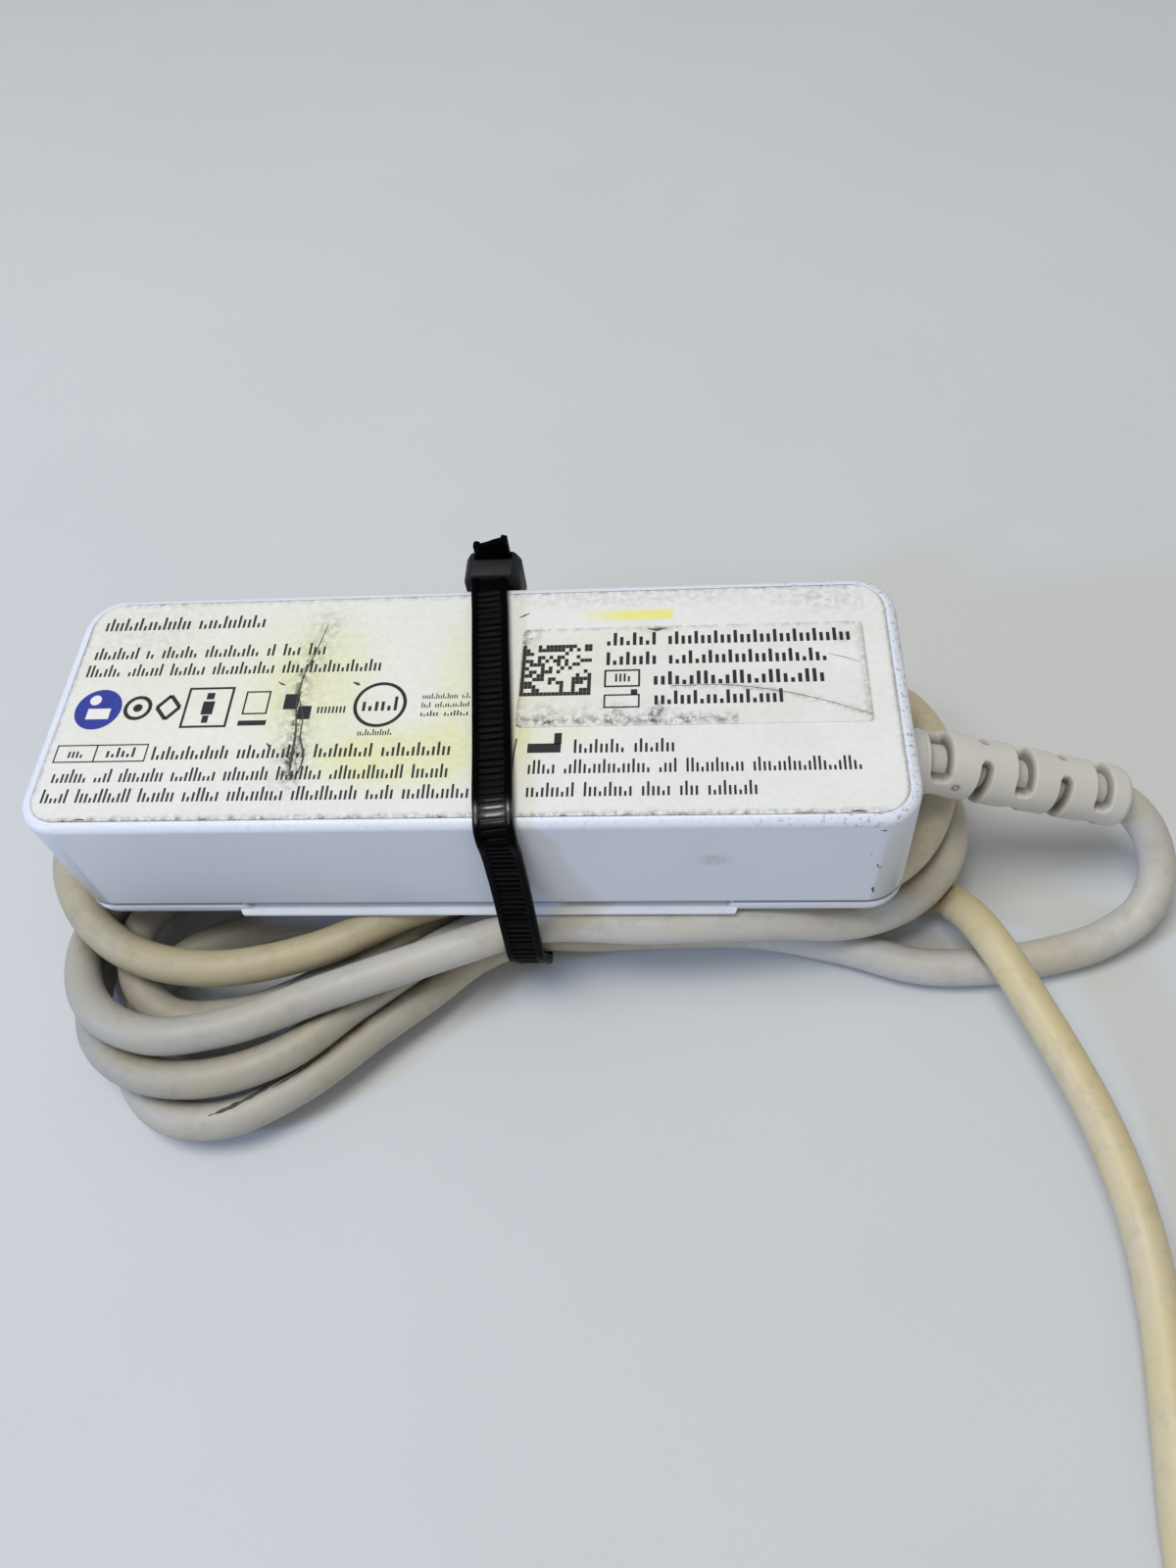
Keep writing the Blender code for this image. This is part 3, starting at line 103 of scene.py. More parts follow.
FOURTH_LOOP = (
    (5.0, -5.0, 7.9), (12.0, -0.6, 7.4), (21.0, 5.0, 7.15), (31.0, 10.0, 7.15), (42.0, 12.6, 7.2),
    (51.0, 11.4, 7.7), (58.0, 7.2, 8.1), (61.4, 1.6, 8.3), (61.6, -4.4, 8.2), (59.4, -9.2, 7.8),
    (55.2, -13.0, 7.3), (50.0, -15.4, 7.5), (44.9, -16.8, 8.9), (40.0, -17.4, 10.6),
    (34.0, -17.9, 11.6), (22.0, -18.6, 12.05), (5.0, -18.8, 12.05), (-3.0, -21.6, 12.3),
    (-11.5, -24.8, 12.6), (-19.7, -27.8, 12.6), (-31.8, -32.1, 12.1), (-41.5, -33.2, 12.1),
    (-49.4, -30.0, 11.2), (-54.0, -24.2, 9.4), (-55.6, -17.6, 7.6), (-52.4, -11.6, 8.2),
    (-44.6, -8.0, 11.6), (-32.0, -7.2, 12.05), (-14.0, -7.4, 12.05),
)
FIFTH_LOOP = (
    (5.0, -7.4, 12.05), (15.0, -3.0, 12.05), (28.0, 5.0, 12.05), (40.0, 12.2, 12.05),
    (49.6, 16.6, 12.2), (56.4, 15.2, 12.4), (59.8, 10.0, 12.8), (60.3, 3.0, 13.2),
    (58.9, -3.4, 13.2), (55.4, -8.8, 12.7), (50.2, -12.2, 12.3), (42.0, -12.6, 12.1),
    (28.0, -12.9, 12.05), (5.0, -12.3, 12.05), (-8.8, -15.8, 12.1), (-22.3, -22.0, 12.1),
    (-35.9, -24.6, 12.5), (-47.8, -21.8, 12.1), (-55.2, -16.1, 12.1), (-59.3, -9.0, 12.1),
    (-59.6, -1.6, 12.0), (-55.2, 5.0, 11.9), (-45.0, 7.6, 11.2), (-33.0, 5.8, 8.6),
    (-20.0, 2.8, 5.6), (-8.0, -0.4, 3.8), (5.0, -2.1, 3.7), (11.0, 1.8, 2.5), (19.0, 7.4, 2.4),
    (28.0, 12.8, 2.4), (38.0, 15.4, 2.4), (47.4, 13.8, 2.4), (53.8, 8.2, 2.4), (56.8, 0.8, 2.5),
    (58.4, -5.6, 2.6), (60.6, -10.4, 3.4),
)
FAR_RUN = (
    (63.4, -15.6, 6.7), (65.6, -20.6, 7.9), (68.0, -26.2, 7.9), (70.9, -33.0, 7.4),
    (74.0, -41.4, 6.5), (76.0, -51.0, 5.4), (76.3, -61.0, 4.2), (75.5, -70.0, 3.3),
    (74.4, -80.0, 2.6), (74.0, -91.0, 2.45), (74.1, -100.7, 2.45),
)

# Coil of the rest of the lead: its middle, the radii of its columns and the heights of its layers,
# and the run from it to the plug
COIL_MIDDLE = (50.9, -116.5)
COIL_RADII = (23.2, 18.5, 13.8)
COIL_LOW = 2.45
COIL_HIGH = 7.05
COIL_TURNS = 5.25
COIL_POINTS_PER_TURN = 48
END_RUN = (
    (35.3, -139.8, 7.0), (29.0, -139.9, 6.4), (24.0, -140.0, 6.0), (18.0, -140.0, 5.9),
    (14.0, -140.0, 5.9),
)


def linear(hex_colour):
    """Linear RGBA of an sRGB hex colour: ((c + 0.055) / 1.055)^2.4, or c / 12.92 up to 0.04045."""
    values = []
    for start in (1, 3, 5):
        c = int(hex_colour[start : start + 2], 16) / 255
        values.append(((c + 0.055) / 1.055) ** 2.4 if c > 0.04045 else c / 12.92)
    return (*values, 1.0)


def feed(tree, target, inputs):
    """Gives a node its inputs, by name or in order: each is a value, or a socket to link from."""
    for key, value in inputs.items() if isinstance(inputs, dict) else enumerate(inputs):
        if isinstance(value, bpy.types.NodeSocket):
            tree.links.new(value, target.inputs[key])
        else:
            target.inputs[key].default_value = value


def node(tree, kind, inputs=(), out=0, **settings):
    """Adds a shader node with its settings and inputs, and gives back one of its outputs."""
    made = tree.nodes.new(f"ShaderNode{kind}")
    for name, value in settings.items():
        setattr(made, name, value)
    feed(tree, made, inputs)
    return made.outputs[out]


def new_material(name, noises, facts=()):
    """A new material, what adds a node to it, its Object coordinates, its noises and its facts.

    A noise is given as the size of its patches in mm, its detail and its roughness, and a fact is
    the name of a value stored at a mesh's points.
    """
    made = bpy.data.materials.new(name)
    made.use_nodes = True
    add = partial(node, made.node_tree)
    where = add("TexCoord", out="Object")
    fields = [
        add(
            "TexNoise",
            {"Vector": where, "Scale": 1 / (size * MM), "Detail": detail, "Roughness": rough},
        )
        for size, detail, rough in noises
    ]
    values = [add("Attribute", out="Fac", attribute_name=fact) for fact in facts]
    return made, add, where, *fields, *values


def finish(made, main, layers, rough, height, depth, strength=1.0, **more):
    """Ends a material: its colour, its roughness, a bump as deep as depth in mm, and more inputs.

    A layer is a share and a colour: it lies over the main colour and the layers before it. rough is
    a field, its lowest and highest value, and the roughness at each of the two.
    """
    tree = made.node_tree
    colour = linear(main)
    for share, tint in layers:
        colour = node(tree, "Mix", {0: share, 6: colour, 7: linear(tint)}, 2, data_type="RGBA")
    bump = {"Height": height, "Distance": depth * MM, "Strength": strength}
    inputs = {
        "Base Color": colour,
        "Roughness": node(tree, "MapRange", rough),
        "Normal": node(tree, "Bump", bump),
        **more,
    }
    feed(tree, tree.nodes["Principled BSDF"], inputs)
    return made


def mottled(name, main, other, size, rough, rough_other, grain, depth, **more):
    """A finish in two close colours, in soft patches of a size in mm, with a fine grain as bump.

    Roughness goes from rough to rough_other with the patches. grain and depth are in mm too.
    """
    made, add, _, patches, grains = new_material(name, ((size, 4.0, 0.6), (grain, 2.0, 0.5)))
    spread = add("MapRange", (patches, 0.35, 0.65))
    roughness = (spread, 0.0, 1.0, rough, rough_other)
    return finish(made, main, [(spread, other)], roughness, grains, depth, **more)


def linked(name, data):
    """A new object in the scene."""
    made = bpy.data.objects.new(name, data)
    scene.collection.objects.link(made)
    return made


def placed(name, data, right, top, back, place):
    """A new camera or lamp, turned so that its right side, top and back face the given ways."""
    made = linked(name, data)
    made.matrix_world = Matrix((*zip(right, top, back, place), (0, 0, 0, 1)))
    return made


def dressed_piece(name, mesh, look, over):
    """A new piece with its finish, which rides on the one body and replaces the solids over."""
    mesh.materials.clear()
    mesh.materials.append(look)
    piece = linked(name, mesh)
    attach(piece, "root")
    if over:
        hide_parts(*over)
    return piece


def mesh_piece(name, points, faces, look, slot, over=(), facts=None, sharp=None, smooth=True):
    """A new piece from points in mm and lists of faces.

    facts are values stored at its points, and edges that turn by more than the angle sharp stay so.
    """
    mesh = bpy.data.meshes.new(name)
    spots = np.reshape(points, (-1, 3)) * MM
    mesh.from_pydata(spots.tolist(), [], [list(map(int, face)) for face in faces])
    for fact, values in (facts or {}).items():
        stored = mesh.attributes.new(fact, "FLOAT", "POINT").data
        stored.foreach_set("value", np.ravel(values).astype(float))
    mesh.polygons.foreach_set("use_smooth", np.full(len(mesh.polygons), smooth))
    mesh.update()
    if sharp:
        mesh.set_sharp_from_angle(angle=np.radians(sharp))
    return dressed_piece(name, mesh, look, over)


def smoothed(name, look):
    """A copy of a frame's node, merged, and smooth where faces meet at less than 30 degrees."""
    mesh = nodes[name].data.copy()
    bm = bmesh.new()
    bm.from_mesh(mesh)
    bmesh.ops.remove_doubles(bm, verts=bm.verts, dist=0.01 * MM)
    bm.to_mesh(mesh)
    bm.free()
    mesh.polygons.foreach_set("use_smooth", np.full(len(mesh.polygons), True))
    mesh.set_sharp_from_angle(angle=np.radians(30))
    piece = dressed_piece(f"finished_{name}", mesh, look, (name,))
    piece.modifiers.new("flat_walls_even", "WEIGHTED_NORMAL").keep_sharp = True


def grid_faces(rows, columns, closed_columns=False):
    """Quads over a grid of points that is stored row by row, as an array of four indices each."""
    column = np.arange(columns if closed_columns else columns - 1)
    r, c = (part.ravel() for part in np.meshgrid(np.arange(rows - 1), column, indexing="ij"))
    across = (c + 1) % columns
    low, high = r * columns, (r + 1) * columns
    return np.stack((low + c, low + across, high + across, high + c), 1)


def repeated(sets, faces):
    """Shapes of one make as one mesh: their points together, and one shape's faces for each."""
    size = len(sets[0])
    return np.concatenate(sets), [
        [index + size * number for index in face] for number in range(len(sets)) for face in faces
    ]


def unit(vectors):
    """Vectors brought to a length of 1."""
    return vectors / np.linalg.norm(vectors, axis=-1, keepdims=True)


def heading(line):
    """The direction in which a line runs at each of its points."""
    return unit(np.gradient(line, axis=0))


def ease(value):
    """The smooth step 3 v^2 - 2 v^3 of a value held between 0 and 1."""
    held = np.clip(value, 0, 1)
    return held * held * (3 - 2 * held)


def bell(value, width):
    """The bell curve exp(-(v / w)^2), which is 1 at 0."""
    return np.exp(-((value / width) ** 2))


def lengths(curve):
    """How far along a curve each of its points lies."""
    return np.concatenate(([0.0], np.cumsum(np.linalg.norm(np.diff(curve, axis=0), axis=1))))


def spots_at(at, along, curve):
    """The places at some lengths along a curve, whose own points lie at given lengths."""
    return np.stack([np.interp(at, along, curve[:, axis]) for axis in range(3)], 1)


def smooth_run(points, steps):
    """A cubic Hermite curve through points: a slope weighs each side by the other's length."""
    spots = np.array(points, float)
    gaps = np.linalg.norm(np.diff(spots, axis=0), axis=1)[:, None]
    slopes = np.diff(spots, axis=0) / gaps
    inner = (slopes[:-1] * gaps[1:] + slopes[1:] * gaps[:-1]) / (gaps[:-1] + gaps[1:])
    tangents = np.concatenate((slopes[:1], inner, slopes[-1:]))
    u = np.linspace(0, 1, steps, endpoint=False)[:, None, None]
    first, last = spots[:-1], spots[1:]
    curve = (
        (2 * u**3 - 3 * u**2 + 1) * first
        + (u**3 - 2 * u**2 + u) * gaps * tangents[:-1]
        + (3 * u**2 - 2 * u**3) * last
        + (u**3 - u**2) * gaps * tangents[1:]
    )
    return np.concatenate((curve.transpose(1, 0, 2).reshape(-1, 3), spots[-1:]))


def even_run(curve, step):
    """Points a step apart along a fine curve, with how far along each one lies."""
    along = lengths(curve)
    at = np.linspace(0, along[-1], int(along[-1] / step) + 1)
    return spots_at(at, along, curve), at


def tube_points(middle, radius, sides):
    """Rings of points round a middle line: p + r (cos a side + sin a up), with side level.

    The radius is one value, or one for each ring and side.
    """
    along = heading(middle)
    side = unit(np.cross(along, (0.0, 0.0, 1.0)))
    up = np.cross(side, along)
    angle = np.linspace(0, 2 * np.pi, sides, endpoint=False)[None, :, None]
    reach = np.broadcast_to(radius, (len(middle), sides))[..., None]
    return middle[:, None] + reach * (np.cos(angle) * side[:, None] + np.sin(angle) * up[:, None])


def tube_faces(rings, sides):
    """Quads between rings, wound to face outwards, and a many-sided face over each end."""
    around = grid_faces(rings, sides, closed_columns=True)[:, ::-1]
    ends = [list(range(sides)), list(range(rings * sides - 1, (rings - 1) * sides - 1, -1))]
    return [*around.tolist(), *ends]


def coil_run():
    """The coil's turns, clockwise from its right side: out to in below, a climb, in to out above.

    A point is middle + r (cos a, sin a), with r or z changing within about a fifth of a turn.
    """
    outer, between, inner = COIL_RADII
    turn = np.arange(int(COIL_TURNS * COIL_POINTS_PER_TURN) + 1) / COIL_POINTS_PER_TURN
    radius = np.full(len(turn), outer)
    for start, before, after in (
        (0.8, outer, between),
        (1.8, between, inner),
        (3.42, inner, between),
        (4.22, between, outer),
    ):
        radius += (after - before) * ease((turn - start) / 0.2)
    height = COIL_LOW + (COIL_HIGH - COIL_LOW) * ease((turn - 2.6) / 0.24)
    angle = -2 * np.pi * turn
    x = COIL_MIDDLE[0] + radius * np.cos(angle)
    y = COIL_MIDDLE[1] + radius * np.sin(angle)
    return np.stack((x, y, height), 1)


# Camera
camera_data = bpy.data.cameras.new("camera")
for name, value in CAMERA_SETTINGS.items():
    setattr(camera_data, name, value)
scene.camera = placed("camera", camera_data, CAMERA_RIGHT, CAMERA_UP, CAMERA_BACK, CAMERA_PLACE)
scene.view_settings.view_transform = "Standard"

# Floor: a plain, pale, matt sheet
floor_mesh = bpy.data.meshes.new("floor")
floor_mesh.from_pydata([(-2, -2, 0), (2, -2, 0), (2, 2, 0), (-2, 2, 0)], [], [(0, 1, 2, 3)])
floor_paper = mottled("floor_paper", "#CFD1CF", "#CCCECC", 90.0, 0.75, 0.8, 0.8, 0.02)
floor_mesh.materials.append(floor_paper)
linked("floor", floor_mesh)

# Light
world = bpy.data.worlds.new("room")
world.use_nodes = True
background = world.node_tree.nodes["Background"]
feed(world.node_tree, background, {"Color": linear(ROOM_COLOUR), "Strength": ROOM_STRENGTH})
scene.world = world
for name, spot, size, power, colour in LAMPS:
    data = bpy.data.lights.new(name, "AREA")
    data.shape = "DISK"
    data.size = size
    data.energy = power
    data.color = linear(colour)[:3]
    back = unit(np.array(spot))
    side = unit(np.cross((0.0, 0.0, 1.0), back))
    placed(name, data, side, np.cross(back, side), back, spot)


def lead_jacket():
    """Aged TPE cable jacket: a soft matt skin, yellowed by light, with grime and painted shade
    where runs touch.
    """
    made, add, _, clouds, spots, fine, age, crease_grime_and_shade, grime_and_shade = new_material(
        "aged_tpe_jacket",
        ((9, 5.0, 0.62), (3.2, 6.0, 0.7), (0.5, 3.0, 0.5)),
        ("age", "crease_grime_and_shade", "grime_and_shade"),
    )
    uneven = add("MapRange", (clouds, 0.3, 0.7, -0.22, 0.22))
    yellowing = add("Math", (age, uneven), operation="ADD", use_clamp=True)
    smears = add("MapRange", (spots, 0.5, 0.8, 0.0, 0.264))
    soiled = add("MapRange", (spots, 0.3, 0.62, 0.22, 0.88))
    # Grime with painted shade in the creases where runs touch, and real smears
    grime = add("Math", (crease_grime_and_shade, soiled), operation="MULTIPLY")
    darkening = add("Math", (grime, smears), operation="MAXIMUM")
    # The second layer is handling grime along some runs, with painted shade mixed in
    layers = ((yellowing, "#D2C295"), (grime_and_shade, "#6E6B5F"), (darkening, "#57492F"))
    return finish(made, "#C9C7C1", layers, (clouds, 0.3, 0.7, 0.42, 0.58), fine, 0.03)


# Lead: one run from the clamp, through the relief, round the hank and the coil, to the plug
LEAD_STEP = 1.2
LEAD_SIDES = 20
RUN_STEPS = 12
# Yellowing of the jacket at some of the points chosen above: 0 is grey white and 1 is tan
AGE_STATIONS = (
    (0, 0.0), (14, 0.0), (17, 0.45), (20, 0.3), (22, 0.1), (25, 0.02), (30, 0.5), (44, 0.4),
    (48, 0.12), (51, 0.35), (53, 0.5), (60, 0.5), (66, 0.14), (72, 0.2), (80, 0.38), (86, 0.12),
    (90, 0.08), (93, 0.0), (98, 0.05), (102, 0.3), (108, 0.5), (113, 0.4), (117, 0.75), (118, 1.0),
    (120, 1.0), (122, 0.5), (124, 0.45), (128, 0.8), (139, 0.9), (144, 0.85), (150, 0.75),
)
# Handling grime with painted shade at some of them, most on the runs tied under the case, in its
# shade
GRIME_AND_SHADE_STATIONS = (
    (0, 0.05), (6, 0.12), (14, 0.1), (18, 0.25), (20, 0.42), (22, 0.3), (26, 0.4), (40, 0.2),
    (47, 0.5), (53, 0.4), (58, 0.05), (66, 0.44), (72, 0.5), (78, 0.12), (90, 0.05), (92, 0.12),
    (94, 0.32), (98, 0.46), (101, 0.4), (105, 0.05), (114, 0.0), (118, 0.3), (121, 0.46),
    (126, 0.4), (134, 0.05), (160, 0.0),
)
hank_run = RELIEF_RUN + NEAR_RUN + FIRST_LOOP + SECOND_LOOP + THIRD_LOOP + FOURTH_LOOP + FIFTH_LOOP
before_coil = smooth_run(hank_run + FAR_RUN, RUN_STEPS)
lead_middle, lead_along = even_run(
    np.concatenate((before_coil, coil_run(), smooth_run(END_RUN, RUN_STEPS))), LEAD_STEP
)
point_along = lengths(before_coil)[::RUN_STEPS]
skin = tube_points(lead_middle, LEAD / 2, LEAD_SIDES).reshape(-1, 3)
skin_along = np.repeat(lead_along, LEAD_SIDES)

# How near each point of the skin lies to the middle of another run, in blocks of points. Its own
# run is what lies within OWN_RUN along the lead. Grime and painted shade in the creases between
# runs are full within the first distance below and fade over the second
OWN_RUN = 9.0
CREASE_GRIME_AND_SHADE_FROM = 2.4
CREASE_GRIME_AND_SHADE_FADE = 1.8
BLOCK = 4000
nearest = np.full(len(skin), OWN_RUN)
for start in range(0, len(skin), BLOCK):
    block = slice(start, start + BLOCK)
    apart = np.linalg.norm(skin[block, None] - lead_middle[None, ::2], axis=2)
    apart[np.abs(skin_along[block, None] - lead_along[None, ::2]) < OWN_RUN] = OWN_RUN
    nearest[block] = apart.min(axis=1)


def along_lead(stations):
    """Values along the lead from a table of its points' numbers and a value at each."""
    numbers, values = zip(*stations)
    places = point_along[np.minimum(numbers, len(point_along) - 1)]
    return np.interp(lead_along, places, values)[:, None]


# The jacket is yellower on top
round_angle = np.linspace(0, 360, LEAD_SIDES, endpoint=False)
lead = mesh_piece(
    "lead",
    skin,
    tube_faces(len(lead_middle), LEAD_SIDES),
    lead_jacket(),
    "grey_lead",
    ("lead_near_stretch", "lead_hank", "lead_far_stretch", "lead_rest_coil", "lead_end_stretch"),
    {
        "age": along_lead(AGE_STATIONS) + 0.18 * np.sin(np.radians(round_angle - 12)),
        "grime_and_shade": np.repeat(along_lead(GRIME_AND_SHADE_STATIONS), LEAD_SIDES, axis=1),
        "crease_grime_and_shade": 1 - ease((nearest - CREASE_GRIME_AND_SHADE_FROM) / CREASE_GRIME_AND_SHADE_FADE),
    },
)


def away_from_line(x, y, line):
    """How far each point lies from a line of straight stretches."""
    spots = np.stack((x, y), -1)[..., None, :]
    ends = np.array(line, float)
    first, run = ends[:-1], np.diff(ends, axis=0)
    share = np.clip(((spots - first) * run).sum(-1) / (run * run).sum(-1), 0, 1)
    return np.linalg.norm(spots - first - share[..., None] * run, axis=-1).min(-1)


def patch(x, y, middle_x, middle_y, reach_x, reach_y, softness=2.0):
    """A soft-edged patch: exp(-(d^softness)), with d the distance in shares of its two reaches."""
    d = np.hypot((x - middle_x) / reach_x, (y - middle_y) / reach_y)
    return np.exp(-(d**softness))


def sheet_grid(length, width, radius, step):
    """A rounded rectangle in rows: x = u (a - r + sqrt(r^2 - d^2)), with u from -1 to 1.

    d is how far a row lies in the corner, and 0 between the corners.
    """
    half_x, half_y = length / 2, width / 2
    into = radius * (1 - np.cos(np.linspace(0, np.pi / 2, 8)))
    inner = np.linspace(radius - half_y, half_y - radius, max(int((width - 2 * radius) / step), 2))
    y = np.concatenate((into - half_y, inner[1:-1], half_y - into[::-1]))
    u = np.linspace(-1, 1, int(length / step))
    d = np.maximum(np.abs(y) - (half_y - radius), 0)
    reach = half_x - radius + np.sqrt(np.maximum(radius**2 - d**2, 0))
    return u[None, :] * reach[:, None], np.repeat(y[:, None], len(u), axis=1)


def sheet(name, x, y, top, look, slot, over, thickness, **facts):
    """A flat film over a grid of places, with facts at its points, as thick in mm as given."""
    points = np.stack((x, y, np.full_like(x, top)), -1)
    held = {fact: np.clip(values, 0, 1) for fact, values in facts.items()}
    piece = mesh_piece(name, points, grid_faces(*x.shape), look, slot, (over,), held)
    solid = piece.modifiers.new("thickness", "SOLIDIFY")
    solid.thickness = thickness * MM
    solid.offset = -1.0
    return piece


def prisms(name, outlines, top, rise, look, slot):
    """Low flat pieces from outlines in mm, sunk in a top and rising out of it, in one mesh."""
    points, faces = [], []
    for outline in outlines:
        count, start = len(outline), len(points)
        points += [(x, y, z) for z in (top - PRINT_SUNK, top + rise) for x, y in outline]
        ends = range(start, start + count)
        faces += [list(reversed(ends)), [k + count for k in ends]]
        for k, following in zip(ends, (*ends[1:], start)):
            faces.append([k, following, following + count, k + count])
    return mesh_piece(name, points, faces, look, slot, smooth=False)


def bar(x, y, width, height):
    """The outline of an upright rectangle round x, y."""
    w, h = width / 2, height / 2
    return [(x - w, y - h), (x + w, y - h), (x + w, y + h), (x - w, y + h)]


def framed(left, right, low, high, line):
    """The four bars of an open frame."""
    x, y, w, h = (left + right) / 2, (low + high) / 2, right - left + line, high - low - line
    return [
        *(bar(x, end, w, line) for end in (low, high)),
        *(bar(end, y, line, h) for end in (left, right)),
    ]


def arc(x, y, radius, angles):
    """Points round x, y at a radius and some angles."""
    return [(x + radius * np.cos(angle), y + radius * np.sin(angle)) for angle in angles]


def ring(x, y, radius, line):
    """Short bars end to end round a circle."""
    angles = np.radians(np.linspace(0, 360, 37))
    inner, outer = arc(x, y, radius - line / 2, angles), arc(x, y, radius + line / 2, angles)
    return list(zip(inner, outer, outer[1:], inner[1:]))


def disc(x, y, radius):
    """The outline of a round patch."""
    return arc(x, y, radius, np.radians(np.arange(0, 360, 10)))


def marks(left, right, y, height, words, weight=0.24):
    """A row of thin upright strokes in groups of the given counts, spread from left to right.

    It stands for a line of print and spells nothing: two strokes take a letter's room, all stand on
    one line, and their heights follow a fast sine of their place. weight is a stroke's width as a
    share of that room.
    """
    pitch = (right - left) / (sum(words) + 0.75 * (len(words) - 1))
    made, x = [], left
    for count in words:
        for _ in range(2 * count):
            wave = np.sin(12.9 * x + 7.3 * y)
            size = height * (1.0 if wave > 0.66 else 0.34 if wave < -0.8 else 0.66)
            made.append(bar(x + 0.25 * pitch, y + (size - height) / 2, weight * pitch, size))
            x += pitch / 2
        x += 0.75 * pitch
    return made


def stroke(line, widths):
    """The outline of a thin stroke along a line, as wide at each point as given."""
    spots = np.array(line, float)
    run = heading(spots)
    side = np.stack((-run[:, 1], run[:, 0]), 1) * np.array(widths, float)[:, None] / 2
    return np.concatenate((spots - side, (spots + side)[::-1]))


def long_stroke(line, steps, widths):
    """A stroke along a smooth curve, six steps to a stretch, as wide at some steps as given."""
    curve = smooth_run([(*p, 0) for p in line], 6)[:, :2]
    return stroke(curve, np.interp(np.arange(len(curve)), steps, widths))


LABEL_TOP = 36.9
STICKER_TOP = 37.02
PRINT_SUNK = 0.05
PRINT_RISE = 0.015
CRACK = (
    (-19.7, 12.4), (-20.6, 7.6), (-21.5, 4.0), (-21.6, -0.1), (-20.9, -4.5), (-20.7, -8.7),
    (-20.5, -10.8),
)
CRACK_BRANCH = (
    (-21.5, 4.0), (-21.4, 0.7), (-20.4, -2.3), (-20.2, -5.2), (-19.3, -8.0), (-19.5, -10.5),
)
CREASE = ((25.3, 1.2), (31.7, 1.2), (37.5, 0.3), (43.2, -1.3), (48.7, -3.4))
PEN_LINE = ((6.6, -6.0), (6.4, -8.5), (6.4, -11.3), (6.2, -13.2))


def film(name, main, other):
    """Printed PET film, matt laminated: a flat sheen, yellowed glue and rubbed-in grime."""
    made, add, _, soft, fine, yellow, marker, grime = new_material(
        name, ((7, 5.0, 0.6), (0.9, 6.0, 0.7)), ("yellow", "marker", "grime")
    )
    torn = add("MapRange", (fine, 0.3, 0.6, 0.45))
    rubbed = add("MapRange", (fine, 0.4, 0.6))
    layers = (
        (add("MapRange", (soft, 0.3, 0.7)), other),
        (add("Math", (yellow, torn), operation="MULTIPLY"), "#E3E3A9"),
        (marker, "#EFEB78"),
        (add("Math", (grime, rubbed), operation="MULTIPLY"), "#35332E"),
    )
    return finish(made, main, layers, (soft, 0.3, 0.7, 0.42, 0.56), soft, 0.12, 0.6)


# Rating label: a film nearly flush in the case's recess
x, y = sheet_grid(103.9, 33.1, 3.6, 0.45)
label_yellow = (
    0.55 * patch(x, y, -20.0, 2.5, 7.5, 10.5, 4)
    + 0.85 * patch(x, y, -6.0, -8.2, 9.5, 4.6, 4)
    + 0.5 * patch(x, y, -13.5, -8.5, 5.5, 3.2, 3)
    + 0.5 * patch(x, y, -1.0, 1.0, 3.4, 11.0, 3)
    + 0.75 * patch(x, y, 7.2, -5.5, 1.8, 4.6, 2)
    + 0.45 * patch(x, y, 13.0, -5.6, 4.0, 1.4, 2)
    + 0.3 * patch(x, y, -30.0, 5.0, 30.0, 14.0, 2)
)
fade = ease((x - 11.5) / 9.0) * (x < 25.4)
crack_near = away_from_line(x, y, CRACK)
label_grime = (
    0.85 * bell(crack_near, 0.55) * ease((11.5 - y) / 12.0)
    + 0.3 * bell(crack_near, 2.2)
    + 0.55 * patch(x, y, -20.6, -7.8, 1.3, 3.4)
    + 0.16 * patch(x, y, -44.0, 11.5, 7.0, 4.5)
    + 0.22 * patch(x, y, 44.5, 14.6, 6.5, 2.2)
    + 0.2 * patch(x, y, 20.0, 15.2, 16.0, 0.9)
    + 0.5 * bell(y - 16.5, 0.35) * (0.4 + 0.6 * np.sin(0.9 * x) ** 2)
    + 0.85 * bell(y + 16.5, 0.4) * (0.5 + 0.5 * np.sin(0.9 * x) ** 2)
    + 0.3 * bell(np.abs(x) - 51.9, 0.3)
    + 0.05
)
label_look = film("laminated_label_film", "#ECEBE5", "#E5E4DB")
sheet(
    "label_film", x, y, LABEL_TOP, label_look, "label_film", "rating_label", 0.2,
    yellow=label_yellow, marker=0.9 * fade * (np.abs(y - 12.6) < 1.0), grime=label_grime,
)

# Serial sticker: a thin film on the label, grimy along its lower and left edges
x, y = sheet_grid(42.6, 15.0, 0.6, 0.35)
x, y = x + 27.6, y + 3.05
ragged = 0.5 + 0.5 * np.sin(1.1 * x) * np.sin(0.37 * x + 1.0)
sticker_grime = (
    0.95 * bell(y + 3.7, 0.75) * (x < 33.0) * (0.45 + 0.55 * ragged)
    + 0.4 * bell(y + 2.4, 1.2) * (x < 26.0) * ragged
    + 0.9 * patch(x, y, 23.4, -2.4, 0.9, 1.3)
    + 0.7 * patch(x, y, 7.5, 9.2, 0.8, 1.5)
    + 0.5 * patch(x, y, 23.4, 10.1, 1.8, 0.35)
    + 0.5 * bell(x - 6.6, 0.4)
    + 0.45 * bell(away_from_line(x, y, CREASE), 0.35)
    + 0.3 * bell(x - 48.6, 0.5)
    + 0.35 * patch(x, y, 46.0, 8.3, 1.3, 0.9)
    + 0.3 * bell(y - 10.4, 0.3)
    + 0.05
)
sticker_yellow = 0.35 * patch(x, y, 9.0, 3.0, 8.0, 8.0) + 0.25 * patch(x, y, 22.0, 9.0, 6.0, 2.0)
sticker_look = film("thermal_sticker_film", "#ECEBE4", "#E2E0D6")
sheet(
    "serial_sticker", x, y, STICKER_TOP, sticker_look, "serial_film", "serial_label", 0.12,
    yellow=sticker_yellow, marker=np.zeros_like(x), grime=sticker_grime,
)

